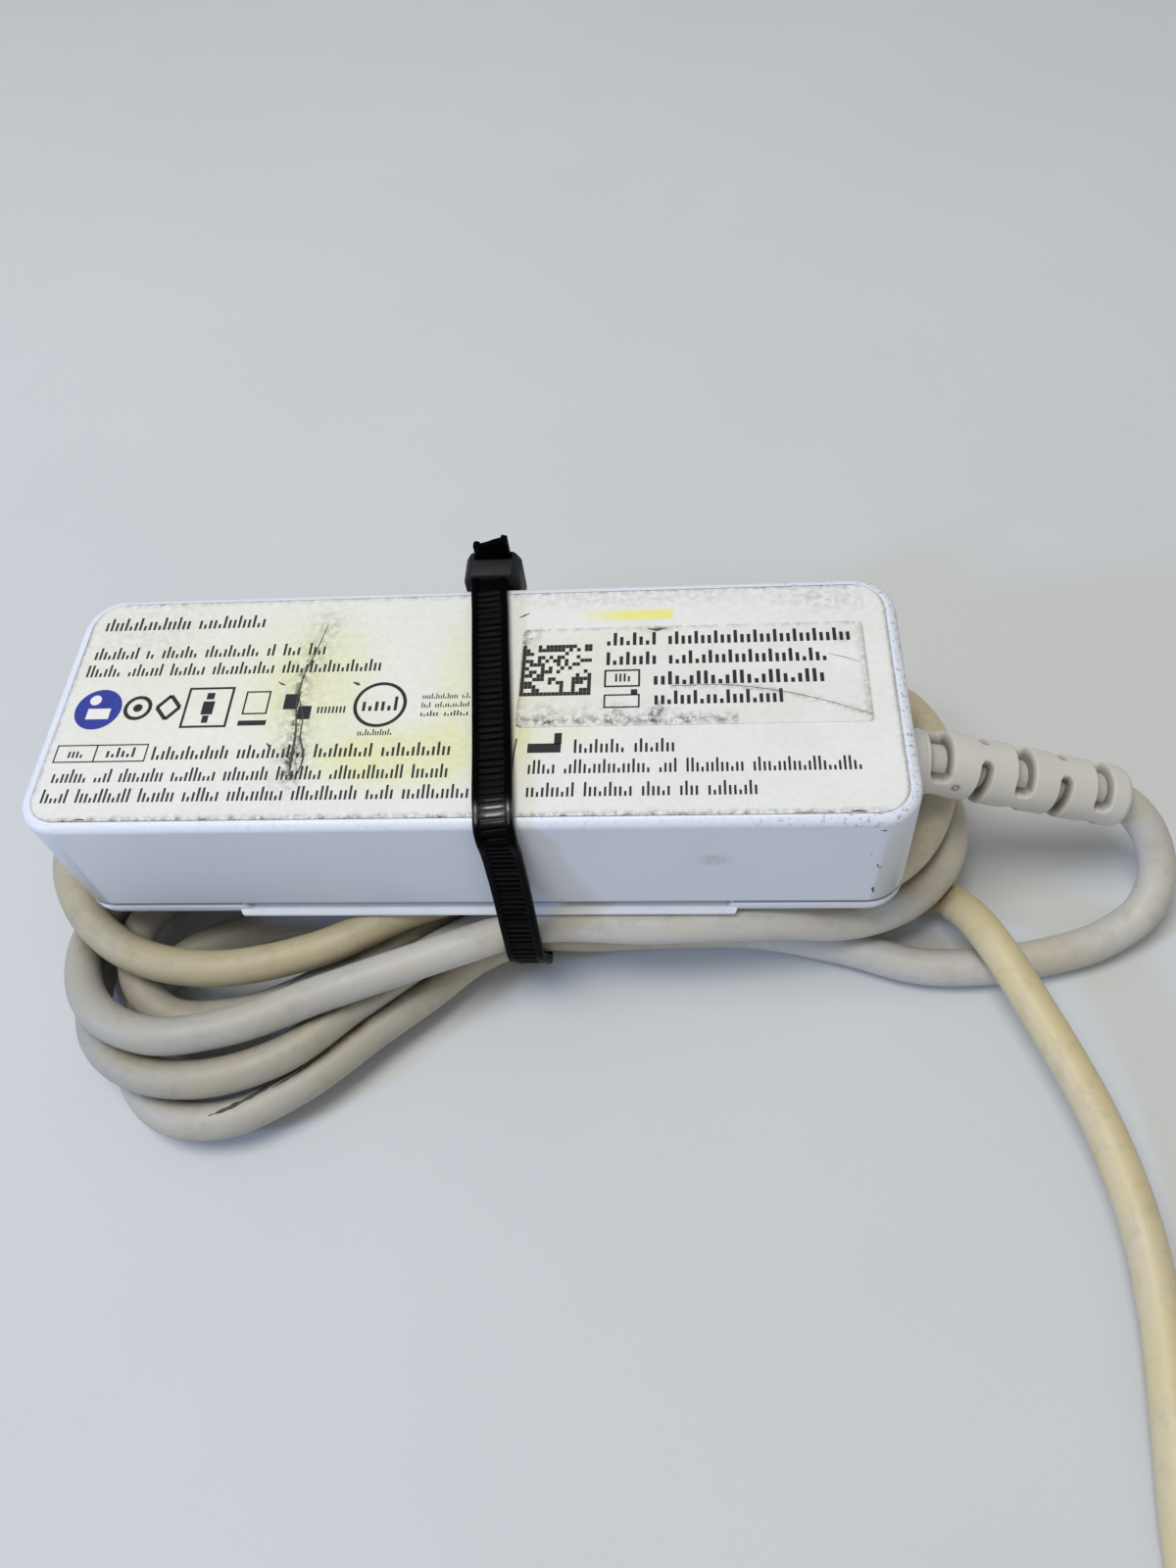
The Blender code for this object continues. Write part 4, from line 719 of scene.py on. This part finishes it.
# Print: generic blocks, bars, frames, a ring and a disc, where the real labels carry theirs
ink = mottled("black_printing_ink", "#131315", "#1D1D20", 2.0, 0.6, 0.7, 0.3, 0.002)
blue_ink = mottled("blue_printing_ink", "#1E2F8C", "#223596", 2.0, 0.45, 0.55, 0.3, 0.002)
corners = [
    (-38.2 + 1.5 * np.cos(a), -0.4 + 1.8 * np.sin(a)) for a in np.radians(np.arange(0, 361, 90))
]
print_shapes = [
    *marks(-50.4, -28.2, 13.2, 2.1, (9, 7)),
    *marks(-50.5, -19.2, 8.35, 1.9, (5, 1, 4, 6, 1, 2, 2)),
    *marks(-50.8, -11.5, 5.55, 1.9, (4, 4, 4, 7, 11)),
    *ring(-42.2, -0.4, 1.6, 0.5),
    disc(-42.2, -0.4, 0.6),
    *[stroke(side, (0.5, 0.5)) for side in zip(corners, corners[1:])],
    *framed(-35.9, -30.2, -3.4, 2.4, 0.32),
    *[bar(-33.0, y, w, h) for y, w, h in ((1.2, 1.0, 1.0), (-0.6, 1.5, 2.0), (-2.3, 0.8, 1.1))],
    *framed(-28.3, -25.3, -1.6, 1.7, 0.22),
    bar(-26.8, -3.0, 3.6, 0.75),
    bar(-22.3, 0.1, 1.9, 2.3),
    bar(-20.4, -1.6, 1.7, 2.0),
    *marks(-18.9, -15.1, -1.0, 1.5, (4,)),
    *ring(-10.9, -0.6, 3.15, 0.45),
    *marks(-13.3, -8.5, -0.5, 2.1, (3,)),
    *marks(-5.7, 0.4, 0.5, 0.8, (8, 2)),
    *marks(-5.7, 0.4, -0.8, 0.8, (2, 7)),
    *marks(-5.7, 0.4, -2.1, 0.8, (3, 4)),
    *marks(-13.2, -8.8, -4.7, 0.9, (7,)),
    *framed(-50.9, -45.8, -8.3, -5.9, 0.18),
    *framed(-45.8, -39.3, -8.3, -5.9, 0.18),
    *marks(-49.4, -47.3, -7.0, 1.4, (2,)),
    *marks(-44.5, -40.6, -7.0, 1.4, (3,)),
    *marks(-38.6, -1.2, -7.2, 1.9, (8, 7, 6, 7)),
    *marks(-50.4, -1.2, -10.3, 1.9, (4, 2, 5, 5, 5, 5, 8, 4)),
    *marks(-50.9, 1.6, -13.1, 1.9, (3, 6, 4, 4, 6, 7, 3, 7)),
    bar(10.0, -7.4, 4.0, 1.3),
    bar(11.6, -6.1, 0.9, 1.6),
    *marks(13.4, 25.6, -7.2, 1.9, (5, 4)),
    *marks(8.1, 47.0, -10.0, 1.9, (3, 9, 2, 6, 11)),
    *marks(8.1, 35.0, -13.1, 1.9, (5, 5, 3, 2, 5)),
]
prisms("label_print", print_shapes, LABEL_TOP, PRINT_RISE, ink, "label_film")
prisms("label_disc", [disc(-47.4, -0.5, 3.05)], LABEL_TOP, PRINT_RISE, blue_ink, "label_film")
figure_shapes = [bar(-47.2, -1.2, 3.0, 1.6), disc(-48.1, 0.9, 0.75)]
prisms("label_disc_mark", figure_shapes, LABEL_TOP, 0.025, label_look, "label_film")
# A generic field of blocks: the first row and column, and those where a fast sine leaves a low part
cells = [
    (c, r)
    for c in range(18)
    for r in range(14)
    if c == 0 or r == 0 or np.sin(12.9898 * c + 78.233 * r) * 43758.5453 % 1 < 0.47
]
sticker_shapes = [
    *[bar(6.7 + 0.49 * c, 0.35 + 0.56 * r, 0.47, 0.54) for c, r in cells],
    *marks(16.9, 47.4, 8.6, 2.0, (4, 14), 0.27),
    *marks(16.9, 44.3, 5.55, 2.0, (4, 12), 0.27),
    *framed(17.0, 21.2, 1.3, 3.7, 0.25),
    *marks(18.1, 20.2, 2.6, 1.2, (2,)),
    *marks(22.8, 43.8, 2.4, 2.0, (12,), 0.27),
    *framed(17.0, 21.2, -1.8, 0.0, 0.22),
    bar(20.6, 0.4, 0.8, 0.8),
    *marks(22.9, 38.7, -0.5, 2.0, (10,), 0.27),
]
prisms("sticker_print", sticker_shapes, STICKER_TOP, PRINT_RISE, ink, "serial_film")

# Thin cracks and pen marks in the label and the sticker
crack_look = mottled("grime_in_cracks", "#3F3B35", "#57524A", 1.0, 0.7, 0.8, 0.3, 0.005)
cracks = [
    long_stroke(CRACK, (0, 8, 20, 30, 36), (0.1, 0.16, 0.14, 0.4, 0.08)),
    long_stroke(CRACK_BRANCH, (0, 12, 24, 30), (0.08, 0.12, 0.3, 0.08)),
    long_stroke(PEN_LINE, (0, 10, 18), (0.22, 0.16, 0.12)),
    stroke([(-14.9, 2.9), (-14.2, 2.6), (-13.9, 2.4)], (0.1, 0.45, 0.1)),
    stroke([(-24.6, 3.2), (-24.0, 2.8), (-23.6, 2.7)], (0.1, 0.3, 0.1)),
    stroke([(-24.3, -6.0), (-23.8, -6.5), (-23.6, -7.0)], (0.1, 0.35, 0.1)),
    stroke([(-45.8, -16.4), (-45.1, -16.35), (-44.3, -16.4)], (0.08, 0.22, 0.08)),
    stroke([(45.0, -16.4), (45.9, -16.35), (46.8, -16.4)], (0.08, 0.25, 0.08)),
    stroke([(5.6, 12.6), (6.2, 12.9), (6.9, 13.3)], (0.08, 0.25, 0.08)),
]
prisms("label_cracks", cracks, LABEL_TOP, 0.02, crack_look, "label_film")
creases = [
    long_stroke(CREASE, (0, 12, 24), (0.05, 0.09, 0.05)),
    stroke([(44.4, 5.6), (46.2, 5.0), (48.1, 4.2)], (0.04, 0.08, 0.04)),
    stroke([(22.2, 10.2), (23.3, 9.9), (24.6, 10.2)], (0.1, 0.4, 0.1)),
]
prisms("sticker_creases", creases, STICKER_TOP, 0.02, crack_look, "serial_film")

# Cable tie: a strap with two rails and a ladder between them, its head and its cut tail
STRAP_WIDTH = 4.7
STRAP_THICKNESS = 1.2
STRAP_LOWEST = 0.61
TAIL_TOP = 42.68
RIB_PITCH = 0.97
RIB_COLUMNS = slice(6, 10)
POLISH_AT = 37.0
STRAP_RUN = (
    (1.2, 20.3, 37.68), (1.2, 19.2, 37.68), (1.3, 17.4, 37.68), (1.7, 14.0, 37.68),
    (2.3, 8.0, 37.68), (3.1, 0.0, 37.68), (3.9, -8.0, 37.68), (4.7, -16.3, 37.68),
    (4.9, -18.2, 37.25), (5.05, -18.95, 36.1), (5.2, -19.15, 33.0), (5.3, -19.67, 27.9),
    (5.5, -21.9, 14.4), (5.5, -22.2, 10.9), (5.5, -21.0, 7.5), (5.5, -19.7, 4.2), (5.4, -18.9, 2.2),
    (5.2, -17.6, 1.0), (5.0, -16.0, 0.62), (4.7, -11.0, 0.62), (4.5, -5.0, 0.62), (4.3, 0.6, 0.62),
    (4.2, 2.4, 1.3), (3.0, 16.7, 12.4), (2.6, 18.67, 14.6), (2.4, 19.07, 17.0), (1.8, 20.2, 27.4),
    (1.6, 20.75, 31.4), (1.6, 21.6, 34.4), (1.6, 21.9, 37.2), (1.6, 21.9, 41.5),
)
strap_middle, strap_along = even_run(smooth_run(STRAP_RUN, 14), 0.11)
strap_middle[:, 2] = np.maximum(strap_middle[:, 2], STRAP_LOWEST)
strap_heading = heading(strap_middle)
strap_across = unit(np.array((1.0, 0.0, 0.0)) - strap_heading * strap_heading[:, :1])
strap_out = np.cross(strap_heading, strap_across)
half, rise = STRAP_WIDTH / 2, STRAP_THICKNESS / 2
# Section of the strap from its left rail over the outside and back under the inside
section = np.array((
    (-half, -0.35), (-half, 0.3), (-half + 0.12, 0.52), (-half + 0.3, rise), (-half + 0.72, rise),
    (-half + 0.86, 0.5), (-half + 0.92, 0.2), (-0.5, 0.2), (0.5, 0.2), (half - 0.92, 0.2),
    (half - 0.86, 0.5), (half - 0.72, rise), (half - 0.3, rise), (half - 0.12, 0.52), (half, 0.3),
    (half, -0.35), (half - 0.25, -rise), (0.0, -rise), (-half + 0.25, -rise),
))
reach_across = section[:, 0]
reach_out = np.tile(section[:, 1], (len(strap_middle), 1))
# Ladder: the floor between the rails rises to ribs, each with a sloped back and a narrow groove
phase = (strap_along / RIB_PITCH) % 1
rib = ease((phase - 0.2) / 0.17) * ease((1 - phase) / 0.15) * (0.32 - 0.08 * phase)
rib *= ease((strap_along - 3.6) / 0.5) * ease((strap_along[-1] - 9.0 - strap_along) / 1.0)
reach_out[:, RIB_COLUMNS] += rib[:, None]
strap_points = (
    strap_middle[:, None]
    + reach_across[:, None] * strap_across[:, None]
    + reach_out[:, :, None] * strap_out[:, None]
)
# The tail was cut by hand: its last rows lean and its edge is torn
torn = ease((strap_along - strap_along[-1] + 1.6) / 1.6)[:, None]
strap_points[:, :, 2] += torn * (0.28 * reach_across + 0.14 * np.sin(5.0 * reach_across))
strap_points[:, :, 2] = np.minimum(strap_points[:, :, 2], TAIL_TOP)

# Head: a wide foot against the case, a narrower body above it and the slot that the tail leaves
# by. Rings are rounded rectangles in rows of z, half the length, half the width and the radius
HEAD_MIDDLE = (1.5, 20.55)
TAIL_MIDDLE = (1.6, 21.85)
HEAD_RINGS = (
    (31.5, 3.0, 1.6, 0.5), (31.5, 3.5, 2.1, 0.6), (31.9, 3.75, 2.25, 0.7), (37.1, 3.75, 2.25, 0.6),
    (37.5, 3.65, 2.2, 0.6), (38.3, 3.2, 2.15, 0.5), (38.6, 3.0, 2.05, 0.45), (38.7, 2.8, 1.9, 0.4),
)
TAIL_RINGS = ((38.7, 2.55, 0.66, 0.15), (38.55, 2.45, 0.62, 0.12), (36.4, 2.4, 0.6, 0.1))


def head_ring(x, y, z, a, b, r):
    """A rounded rectangle: corners of radius r, six points each, round (+-(a - r), +-(b - r))."""
    angle = np.radians([corner + turn for corner in (0, 90, 180, 270) for turn in range(0, 91, 18)])
    side_x, side_y = np.repeat(((1, -1, -1, 1), (1, 1, -1, -1)), 6, axis=1)
    ring_x = x + side_x * (a - r) + r * np.cos(angle)
    ring_y = y + side_y * (b - r) + r * np.sin(angle)
    return np.stack((ring_x, ring_y, np.full_like(ring_x, z)), 1)


rings = [head_ring(*HEAD_MIDDLE, *row) for row in HEAD_RINGS]
head_points = np.array(rings + [head_ring(*TAIL_MIDDLE, *row) for row in TAIL_RINGS])
head_faces = [face[::-1] for face in tube_faces(*head_points.shape[:2])]


def tie_nylon():
    """Black moulded nylon 6.6: near black and dull, with a wet gloss at the bend and scratches."""
    made, add, where, flow, worn, polish = new_material(
        "moulded_black_nylon", ((2.5, 4.0, 0.5),), ("worn", "polish")
    )
    stretched = add("Mapping", {"Vector": where, "Scale": (1.0, 0.12, 0.12)})
    scratches = add("TexNoise", {"Vector": stretched, "Scale": 1 / (0.35 * MM), "Detail": 3.0})
    shine = add("MapRange", (polish, 0.0, 1.0, 0.02))
    # The second layer is the top run's ribs in dark grey: rub wear with a painted highlight
    layers = ((flow, "#070708"), (worn, "#18181A"))
    more = {"IOR": 1.53, "Specular IOR Level": shine}
    return finish(
        made, "#020202", layers, (scratches, 0.35, 0.75, 0.26, 0.34), scratches, 0.004, **more
    )


black_nylon = tie_nylon()
# The ribs on the case's top are a dull dark grey: partly rub wear, partly a painted highlight where
# the top run faces the light
rubbed = np.zeros_like(reach_out)
rubbed[:, RIB_COLUMNS] = (rib * (1 - 0.9 * ease((strap_along - POLISH_AT) / 3.0)) / 0.3)[:, None]
# Where the strap turns down it is drawn smooth and shines
polished = np.repeat(bell(strap_along - POLISH_AT, 0.9), len(section))
mesh_piece(
    "tie_strap",
    strap_points,
    tube_faces(len(strap_middle), len(section)),
    black_nylon,
    "black_nylon",
    ("cable_tie",),
    {"worn": np.clip(rubbed, 0, 1), "polish": polished},
    sharp=50,
)
eroded = mottled("eroded_black_nylon", "#0E0E0F", "#151516", 1.5, 0.55, 0.65, 0.25, 0.012, IOR=1.38)
mesh_piece("tie_head", head_points, head_faces, eroded, "black_nylon", ("cable_tie",), sharp=50)

# Strain relief: a tapered sleeve over the lead. Its slots lie in pairs, each turned by a quarter
SLOT_FIRST = 4.1
SLOT_PITCH = 5.5
SLOT_COUNT = 5
SLOT_HALVES = (1.12, 0.82)
SLOT_ROLL = 92.0
SLOT_FLOOR = 2.22
RELIEF_SIDES = 144
RELIEF_LINE = (
    (53.5, -1.8, 23.9), (56.5, -1.8, 23.6), (65.06, -1.9, 20.83), (73.73, -2.0, 17.76),
    (82.4, -2.1, 14.6),
)
relief_middle, relief_along = even_run(smooth_run(RELIEF_LINE, 20), 0.11)
relief_angle = np.linspace(0, 360, RELIEF_SIDES, endpoint=False)[None, :]
# Radius: a slight taper, a rounded start, a groove round it and a rounded tip
s, end = relief_along[:, None], relief_along[-1]
outer = 4.2 - 0.2 * s / end - 0.28 * (1 - ease(s / 0.35)) - 0.18 * bell(s - 2.6, 0.22)
tip = np.clip((s - (end - 1.3)) / 1.3, 0, 1)
outer = outer - 1.45 * (1 - np.sqrt(np.maximum(1 - tip**2, 0)))
relief_radius = np.repeat(outer, RELIEF_SIDES, axis=1)
for station in range(SLOT_COUNT):
    place = SLOT_FIRST + SLOT_PITCH * station
    for side in (0, 1):
        facing = SLOT_ROLL - 90 * (station % 2) + 180 * side
        turned = np.abs((relief_angle - facing + 180) % 360 - 180)
        arc_end = ease((73.0 - turned) / 7.0)
        narrow = SLOT_HALVES[station % 2] - 0.45 * (1 - ease((74.0 - turned) / 15.0))
        depth = ease((narrow + 0.16 - np.abs(s - place)) / 0.3) * arc_end
        relief_radius += (SLOT_FLOOR - relief_radius) * depth
# The mark of an ejector pin: a low button in a round groove
gate = np.hypot(s - 6.3, ((relief_angle - 12 + 180) % 360 - 180) * 0.073)
groove = bell(gate - 0.38, 0.17)
relief_radius -= 0.2 * groove


def relief_tpe():
    """Moulded TPE, warm grey and matt: an even eroded skin, with painted shade on the slots' walls
    and in the pin mark's groove.
    """
    made, _, _, soft, grain, painted_recess_shade = new_material(
        "moulded_grey_tpe", ((5, 5.0, 0.5), (0.3, 3.0, 0.5)), ("painted_recess_shade",)
    )
    layers = ((soft, "#CBC8BE"), (painted_recess_shade, "#5F594F"))
    return finish(made, "#DAD7CF", layers, (soft, 0.3, 0.7, 0.52, 0.64), grain, 0.03)


grey_tpe = relief_tpe()
# Painted shade darkens the slots' walls and the pin mark's groove, the more the deeper they lie
relief = mesh_piece(
    "strain_relief_sleeve",
    tube_points(relief_middle, relief_radius, RELIEF_SIDES),
    tube_faces(len(relief_middle), RELIEF_SIDES),
    grey_tpe,
    "grey_tpe",
    ("strain_relief",),
    {"painted_recess_shade": np.maximum(0.9 * ease((outer - relief_radius) / 1.4), 0.72 * groove)},
)


def case_abs():
    """White ABS with a fine eroded grain: cool white, dulled by handling, scuffed at its edges."""
    made, add, where, soft, flecks, grain = new_material(
        "moulded_white_abs", ((16, 4.0, 0.5), (0.55, 6.0, 0.72), (0.28, 2.0, 0.5))
    )
    x, y, z = add("SeparateXYZ", (where,)).node.outputs
    # Scuffs gather on the top rim, more so at the corner over the relief
    scuff = add("MapRange", (z, 35.2 * MM, 36.4 * MM))
    right = add("MapRange", (x, 30 * MM, 50 * MM, 0.2))
    for share in (right, add("MapRange", (flecks, 0.55, 0.66))):
        scuff = add("Math", (scuff, share), operation="MULTIPLY")
    # One grey smudge on the front, and the front darker towards the bottom of the cover, below the
    # seam
    off = add("VectorMath", (where, (0.0297, -0.0178, 0.0283)), operation="SUBTRACT")
    spread = add("VectorMath", (off, (1.0, 1.0, 1.5)), operation="MULTIPLY")
    far = add("VectorMath", (spread,), "Value", operation="LENGTH")
    smudge = add("MapRange", (far, 0.4 * MM, 2.6 * MM, 0.55, 0.0))
    low_band = add("MapRange", (z, 14.6 * MM, 16.6 * MM, 0.3, 0.0))
    darkening = add("Math", (smudge, low_band), operation="MAXIMUM")
    worn = add("MapRange", (flecks, 0.35, 0.6))
    darkening = add("Math", (darkening, worn), operation="MULTIPLY")
    # Dirt in the parting line, and painted shade in the finger groove under the shell's overhang,
    # darkest at its upper edge
    off_line = add("Math", (z, 17.27 * MM), operation="SUBTRACT")
    off_line = add("Math", (off_line,), operation="ABSOLUTE")
    line = add("MapRange", (off_line, 0.16 * MM, 0.4 * MM, 0.8, 0.0))
    across = add("Math", (x,), operation="ABSOLUTE")
    groove = add("MapRange", (y, -17.5 * MM, -17.3 * MM))
    for share in (
        add("Math", (y, -15.0 * MM), operation="LESS_THAN"),
        add("Math", (z, 17.6 * MM), operation="LESS_THAN"),
        add("MapRange", (z, 15.75 * MM, 16.15 * MM)),
        add("Math", (across, 34 * MM), operation="LESS_THAN"),
    ):
        groove = add("Math", (groove, share), operation="MULTIPLY")
    line = add("Math", (line, groove), operation="MAXIMUM")
    layers = ((soft, "#DEE2E9"), (scuff, "#6F6C6B"), (darkening, "#85827C"), (line, "#4C4D50"))
    return finish(made, "#E6E9EE", layers, (soft, 0.3, 0.7, 0.36, 0.48), grain, 0.02, IOR=1.54)


white_abs = case_abs()
smoothed("label_side_shell", white_abs)
smoothed("cover_shell", white_abs)

# Lip of the cover under the finger groove, a little proud: rows of y and z, with slanted ends
LIP_SECTION = (
    (-17.2, 14.9), (-17.9, 14.72), (-18.35, 14.85), (-18.5, 15.1), (-18.4, 15.4), (-17.95, 15.7),
    (-17.2, 15.9),
)
lip_y, lip_z = np.transpose(LIP_SECTION)
# The lip is painted a brighter white than the case: a painted highlight for the light its upper
# face catches
mesh_piece(
    "cover_front_lip",
    [
        np.stack((end - slope * (lip_z - 14.9), lip_y, lip_z), 1)
        for end, slope in ((32.0, -0.7), (-31.1, 0.7))
    ],
    tube_faces(2, len(LIP_SECTION)),
    mottled("white_abs_painted_bright", "#F1F2F0", "#EAEBEA", 6.0, 0.38, 0.46, 0.28, 0.01),
    "white_abs",
    smooth=False,
)

# Dark nicks in the front of the case near its right end: x, y and z, and half of each size
NICKS = (
    (48.8, -17.86, 26.7, 0.1, 0.3), (49.1, -17.86, 26.1, 0.16, 0.1), (48.7, -17.86, 35.0, 0.4, 0.1),
    (48.8, -17.86, 20.6, 0.16, 0.42), (48.9, -17.86, 19.9, 0.14, 0.2),
    (50.6, -17.3, 32.2, 0.09, 0.3), (47.9, -17.86, 29.4, 0.08, 0.25),
)
NICK_SIDES = 12


def nick_points(x, y, z, half_width, half_height):
    """A low lens: an uneven disc with a middle raised by 0.04 mm, and a point inside the wall."""
    angle = 2 * np.pi * np.arange(NICK_SIDES) / NICK_SIDES
    uneven = 1 + 0.35 * np.sin(3 * angle + x) + 0.2 * np.cos(5 * angle + z)
    rim_x = x + half_width * uneven * np.cos(angle)
    rim_z = z + half_height * uneven * np.sin(angle)
    rim = np.stack((rim_x, np.full(NICK_SIDES, y + 0.02), rim_z), 1)
    return np.concatenate((rim, [(x, y - 0.02, z), (x, y + 0.1, z)]))


sides = [(k, (k + 1) % NICK_SIDES) for k in range(NICK_SIDES)]
nick_faces = [[NICK_SIDES, k, following] for k, following in sides]
nick_faces += [[NICK_SIDES + 1, following, k] for k, following in sides]
nicks = repeated([nick_points(*nick) for nick in NICKS], nick_faces)
mesh_piece("case_nicks", *nicks, crack_look, "white_abs")

# Streaks of grime on the jacket: first and last place in numbers of the lead's points, first and
# last angle round it in degrees, and half the width in mm
STREAKS = (
    (20.78, 22.2, 63, 96, 0.36), (20.5, 21.2, 74, 80, 0.16), (19.55, 19.8, 50, 44, 0.1),
    (67.3, 67.5, 62, 70, 0.12), (67.75, 67.85, 84, 88, 0.1), (98.3, 98.75, 40, 44, 0.14),
    (70.2, 70.5, 120, 112, 0.1),
)
STREAK_ROWS = 40
FINE_SIDES = 180


def streak_points(first, last, first_angle, last_angle, half_width):
    """Rows of four points on the jacket: an edge, a raised middle, the other edge and one inside.

    The width is the root of a half sine along the streak, less a fast sine: its ends are points.
    """
    share = np.linspace(0, 1, STREAK_ROWS)
    numbers = first + share * (last - first)
    place = np.interp(numbers, np.arange(len(point_along)), point_along)
    middle = spots_at(place, lead_along, lead_middle)
    angle = first_angle + (last_angle - first_angle) * share**2
    wave = 0.75 + 0.35 * np.sin(29 * share) * np.sin(11 * share + 1)
    turn = np.degrees(2 * half_width * np.sqrt(np.sin(np.pi * share)) * wave / LEAD)
    rows = []
    for rise, shift in ((0.0, -turn), (0.03, 0.0), (0.0, turn), (-0.1, 0.0)):
        column = np.rint((angle + shift) * FINE_SIDES / 360).astype(int) % FINE_SIDES
        tube = tube_points(middle, LEAD / 2 + rise, FINE_SIDES)
        rows.append(tube[np.arange(STREAK_ROWS), column])
    return np.stack(rows, 1).reshape(-1, 3)


streaks = repeated([streak_points(*streak) for streak in STREAKS], tube_faces(STREAK_ROWS, 4))
mesh_piece("lead_streaks", *streaks, crack_look, "grey_lead")

# Plug at the lead's end: turned pieces round a line along -X
PLUG_Y = -140.0
PLUG_Z = 5.9
black_plastic = mottled("moulded_black_plastic", "#17171A", "#202023", 5.0, 0.4, 0.5, 0.4, 0.02)
nickel = mottled("nickel_plate", "#C9C6BE", "#BDB9AF", 3.0, 0.18, 0.3, 0.3, 0.004, Metallic=1.0)
looks = {
    "grey_lead": lead.data.materials[0],
    "black_nylon": black_nylon,
    "black_plastic": black_plastic,
    "nickel": nickel,
    "steel": mottled(
        "zinc_plated_steel", "#A9AAAD", "#98999C", 2.0, 0.3, 0.42, 0.3, 0.004, Metallic=1.0
    ),
    "green_board": mottled("green_solder_mask", "#1E5A34", "#17492A", 5.0, 0.3, 0.4, 0.4, 0.01),
    "ivory_nylon": mottled("moulded_ivory_nylon", "#DAD4BF", "#CFC8B0", 4.0, 0.4, 0.5, 0.4, 0.01),
}
for colour, main, other in (
    ("red", "#B3231B", "#A51D17"),
    ("black", "#141415", "#1A1A1B"),
    ("green", "#1F7A3B", "#1A6E34"),
    ("white", "#DDDDD8", "#D3D3CD"),
):
    wire_look = mottled(f"{colour}_pvc", main, other, 3.0, 0.35, 0.45, 0.3, 0.005)
    looks[f"{colour}_wire"] = wire_look

# Each piece: its finish and slot, its sides, its ridges (count, depth, start, stop) and its rings
# as x and radius
PLAIN = (0, 0.0, 0.0, 0.0)
PLUG_PIECES = {
    "plug_relief": (grey_tpe, "grey_tpe", 64, PLAIN, (
        (17.7, 2.5), (17.7, 2.95), (17.4, 3.2), (15.6, 3.3), (15.5, 2.95), (14.6, 2.95),
        (14.5, 3.35), (12.9, 3.45), (12.8, 3.05), (11.9, 3.05), (11.8, 3.5), (10.2, 3.62),
        (10.1, 3.2), (9.2, 3.2), (9.1, 3.7), (6.0, 4.0), (5.7, 3.9),
    )),
    "plug_body": (black_plastic, "black_plastic", 64, (20, 0.22, -3.0, -13.0), (
        (5.4, 4.2), (5.3, 4.9), (4.9, 5.35), (4.2, 5.6), (3.0, 5.75), (1.2, 5.8), (-2.0, 5.8),
        (-12.0, 5.8), (-14.2, 5.75), (-15.1, 5.5), (-15.5, 5.1), (-15.6, 4.8),
    )),
    "plug_collar": (nickel, "nickel", 96, (32, 0.16, -16.6, -20.2), (
        (-15.9, 4.7), (-15.9, 5.0), (-16.2, 5.3), (-20.5, 5.3), (-20.9, 4.9), (-20.9, 4.55),
        (-15.9, 4.55),
    )),
    "plug_sleeve": (nickel, "nickel", 64, PLAIN, (
        (-15.9, 3.8), (-15.9, 4.4), (-16.0, 4.5), (-24.1, 4.5), (-24.4, 4.3), (-24.4, 3.9),
        (-24.2, 3.8), (-15.9, 3.8),
    )),
    "plug_insert": (black_plastic, "black_plastic", 64, PLAIN, (
        (-15.9, 3.3), (-15.9, 3.5), (-21.7, 3.5), (-21.9, 3.3), (-21.9, 2.0), (-21.7, 1.9),
        (-21.7, 0.4),
    )),
}
for name, (look, slot, sides, (count, depth, start, stop), rings) in PLUG_PIECES.items():
    x, radius = np.transpose(rings)[:, :, None]
    angle = np.linspace(0, 2 * np.pi, sides, endpoint=False)[None, :]
    ridged = (x < start) & (x > stop)
    reach = radius - depth * ridged * (0.5 + 0.5 * np.cos(count * angle))
    points = (x + 0 * reach, PLUG_Y + reach * np.cos(angle), PLUG_Z + reach * np.sin(angle))
    faces = tube_faces(len(rings), sides)
    mesh_piece(name, np.stack(points, -1), faces, look, slot, (f"far_{name}",), sharp=40)

# Sockets in the end wall, and the pieces inside the case
smoothed("power_socket_housing", black_plastic)
smoothed("power_socket_pin", nickel)
smoothed("data_socket_shell", nickel)
for piece in frame["record"]["subparts"]:
    if look := looks.get(piece["material_slot"]):
        for slot in nodes[piece["node"]].material_slots:
            slot.material = look
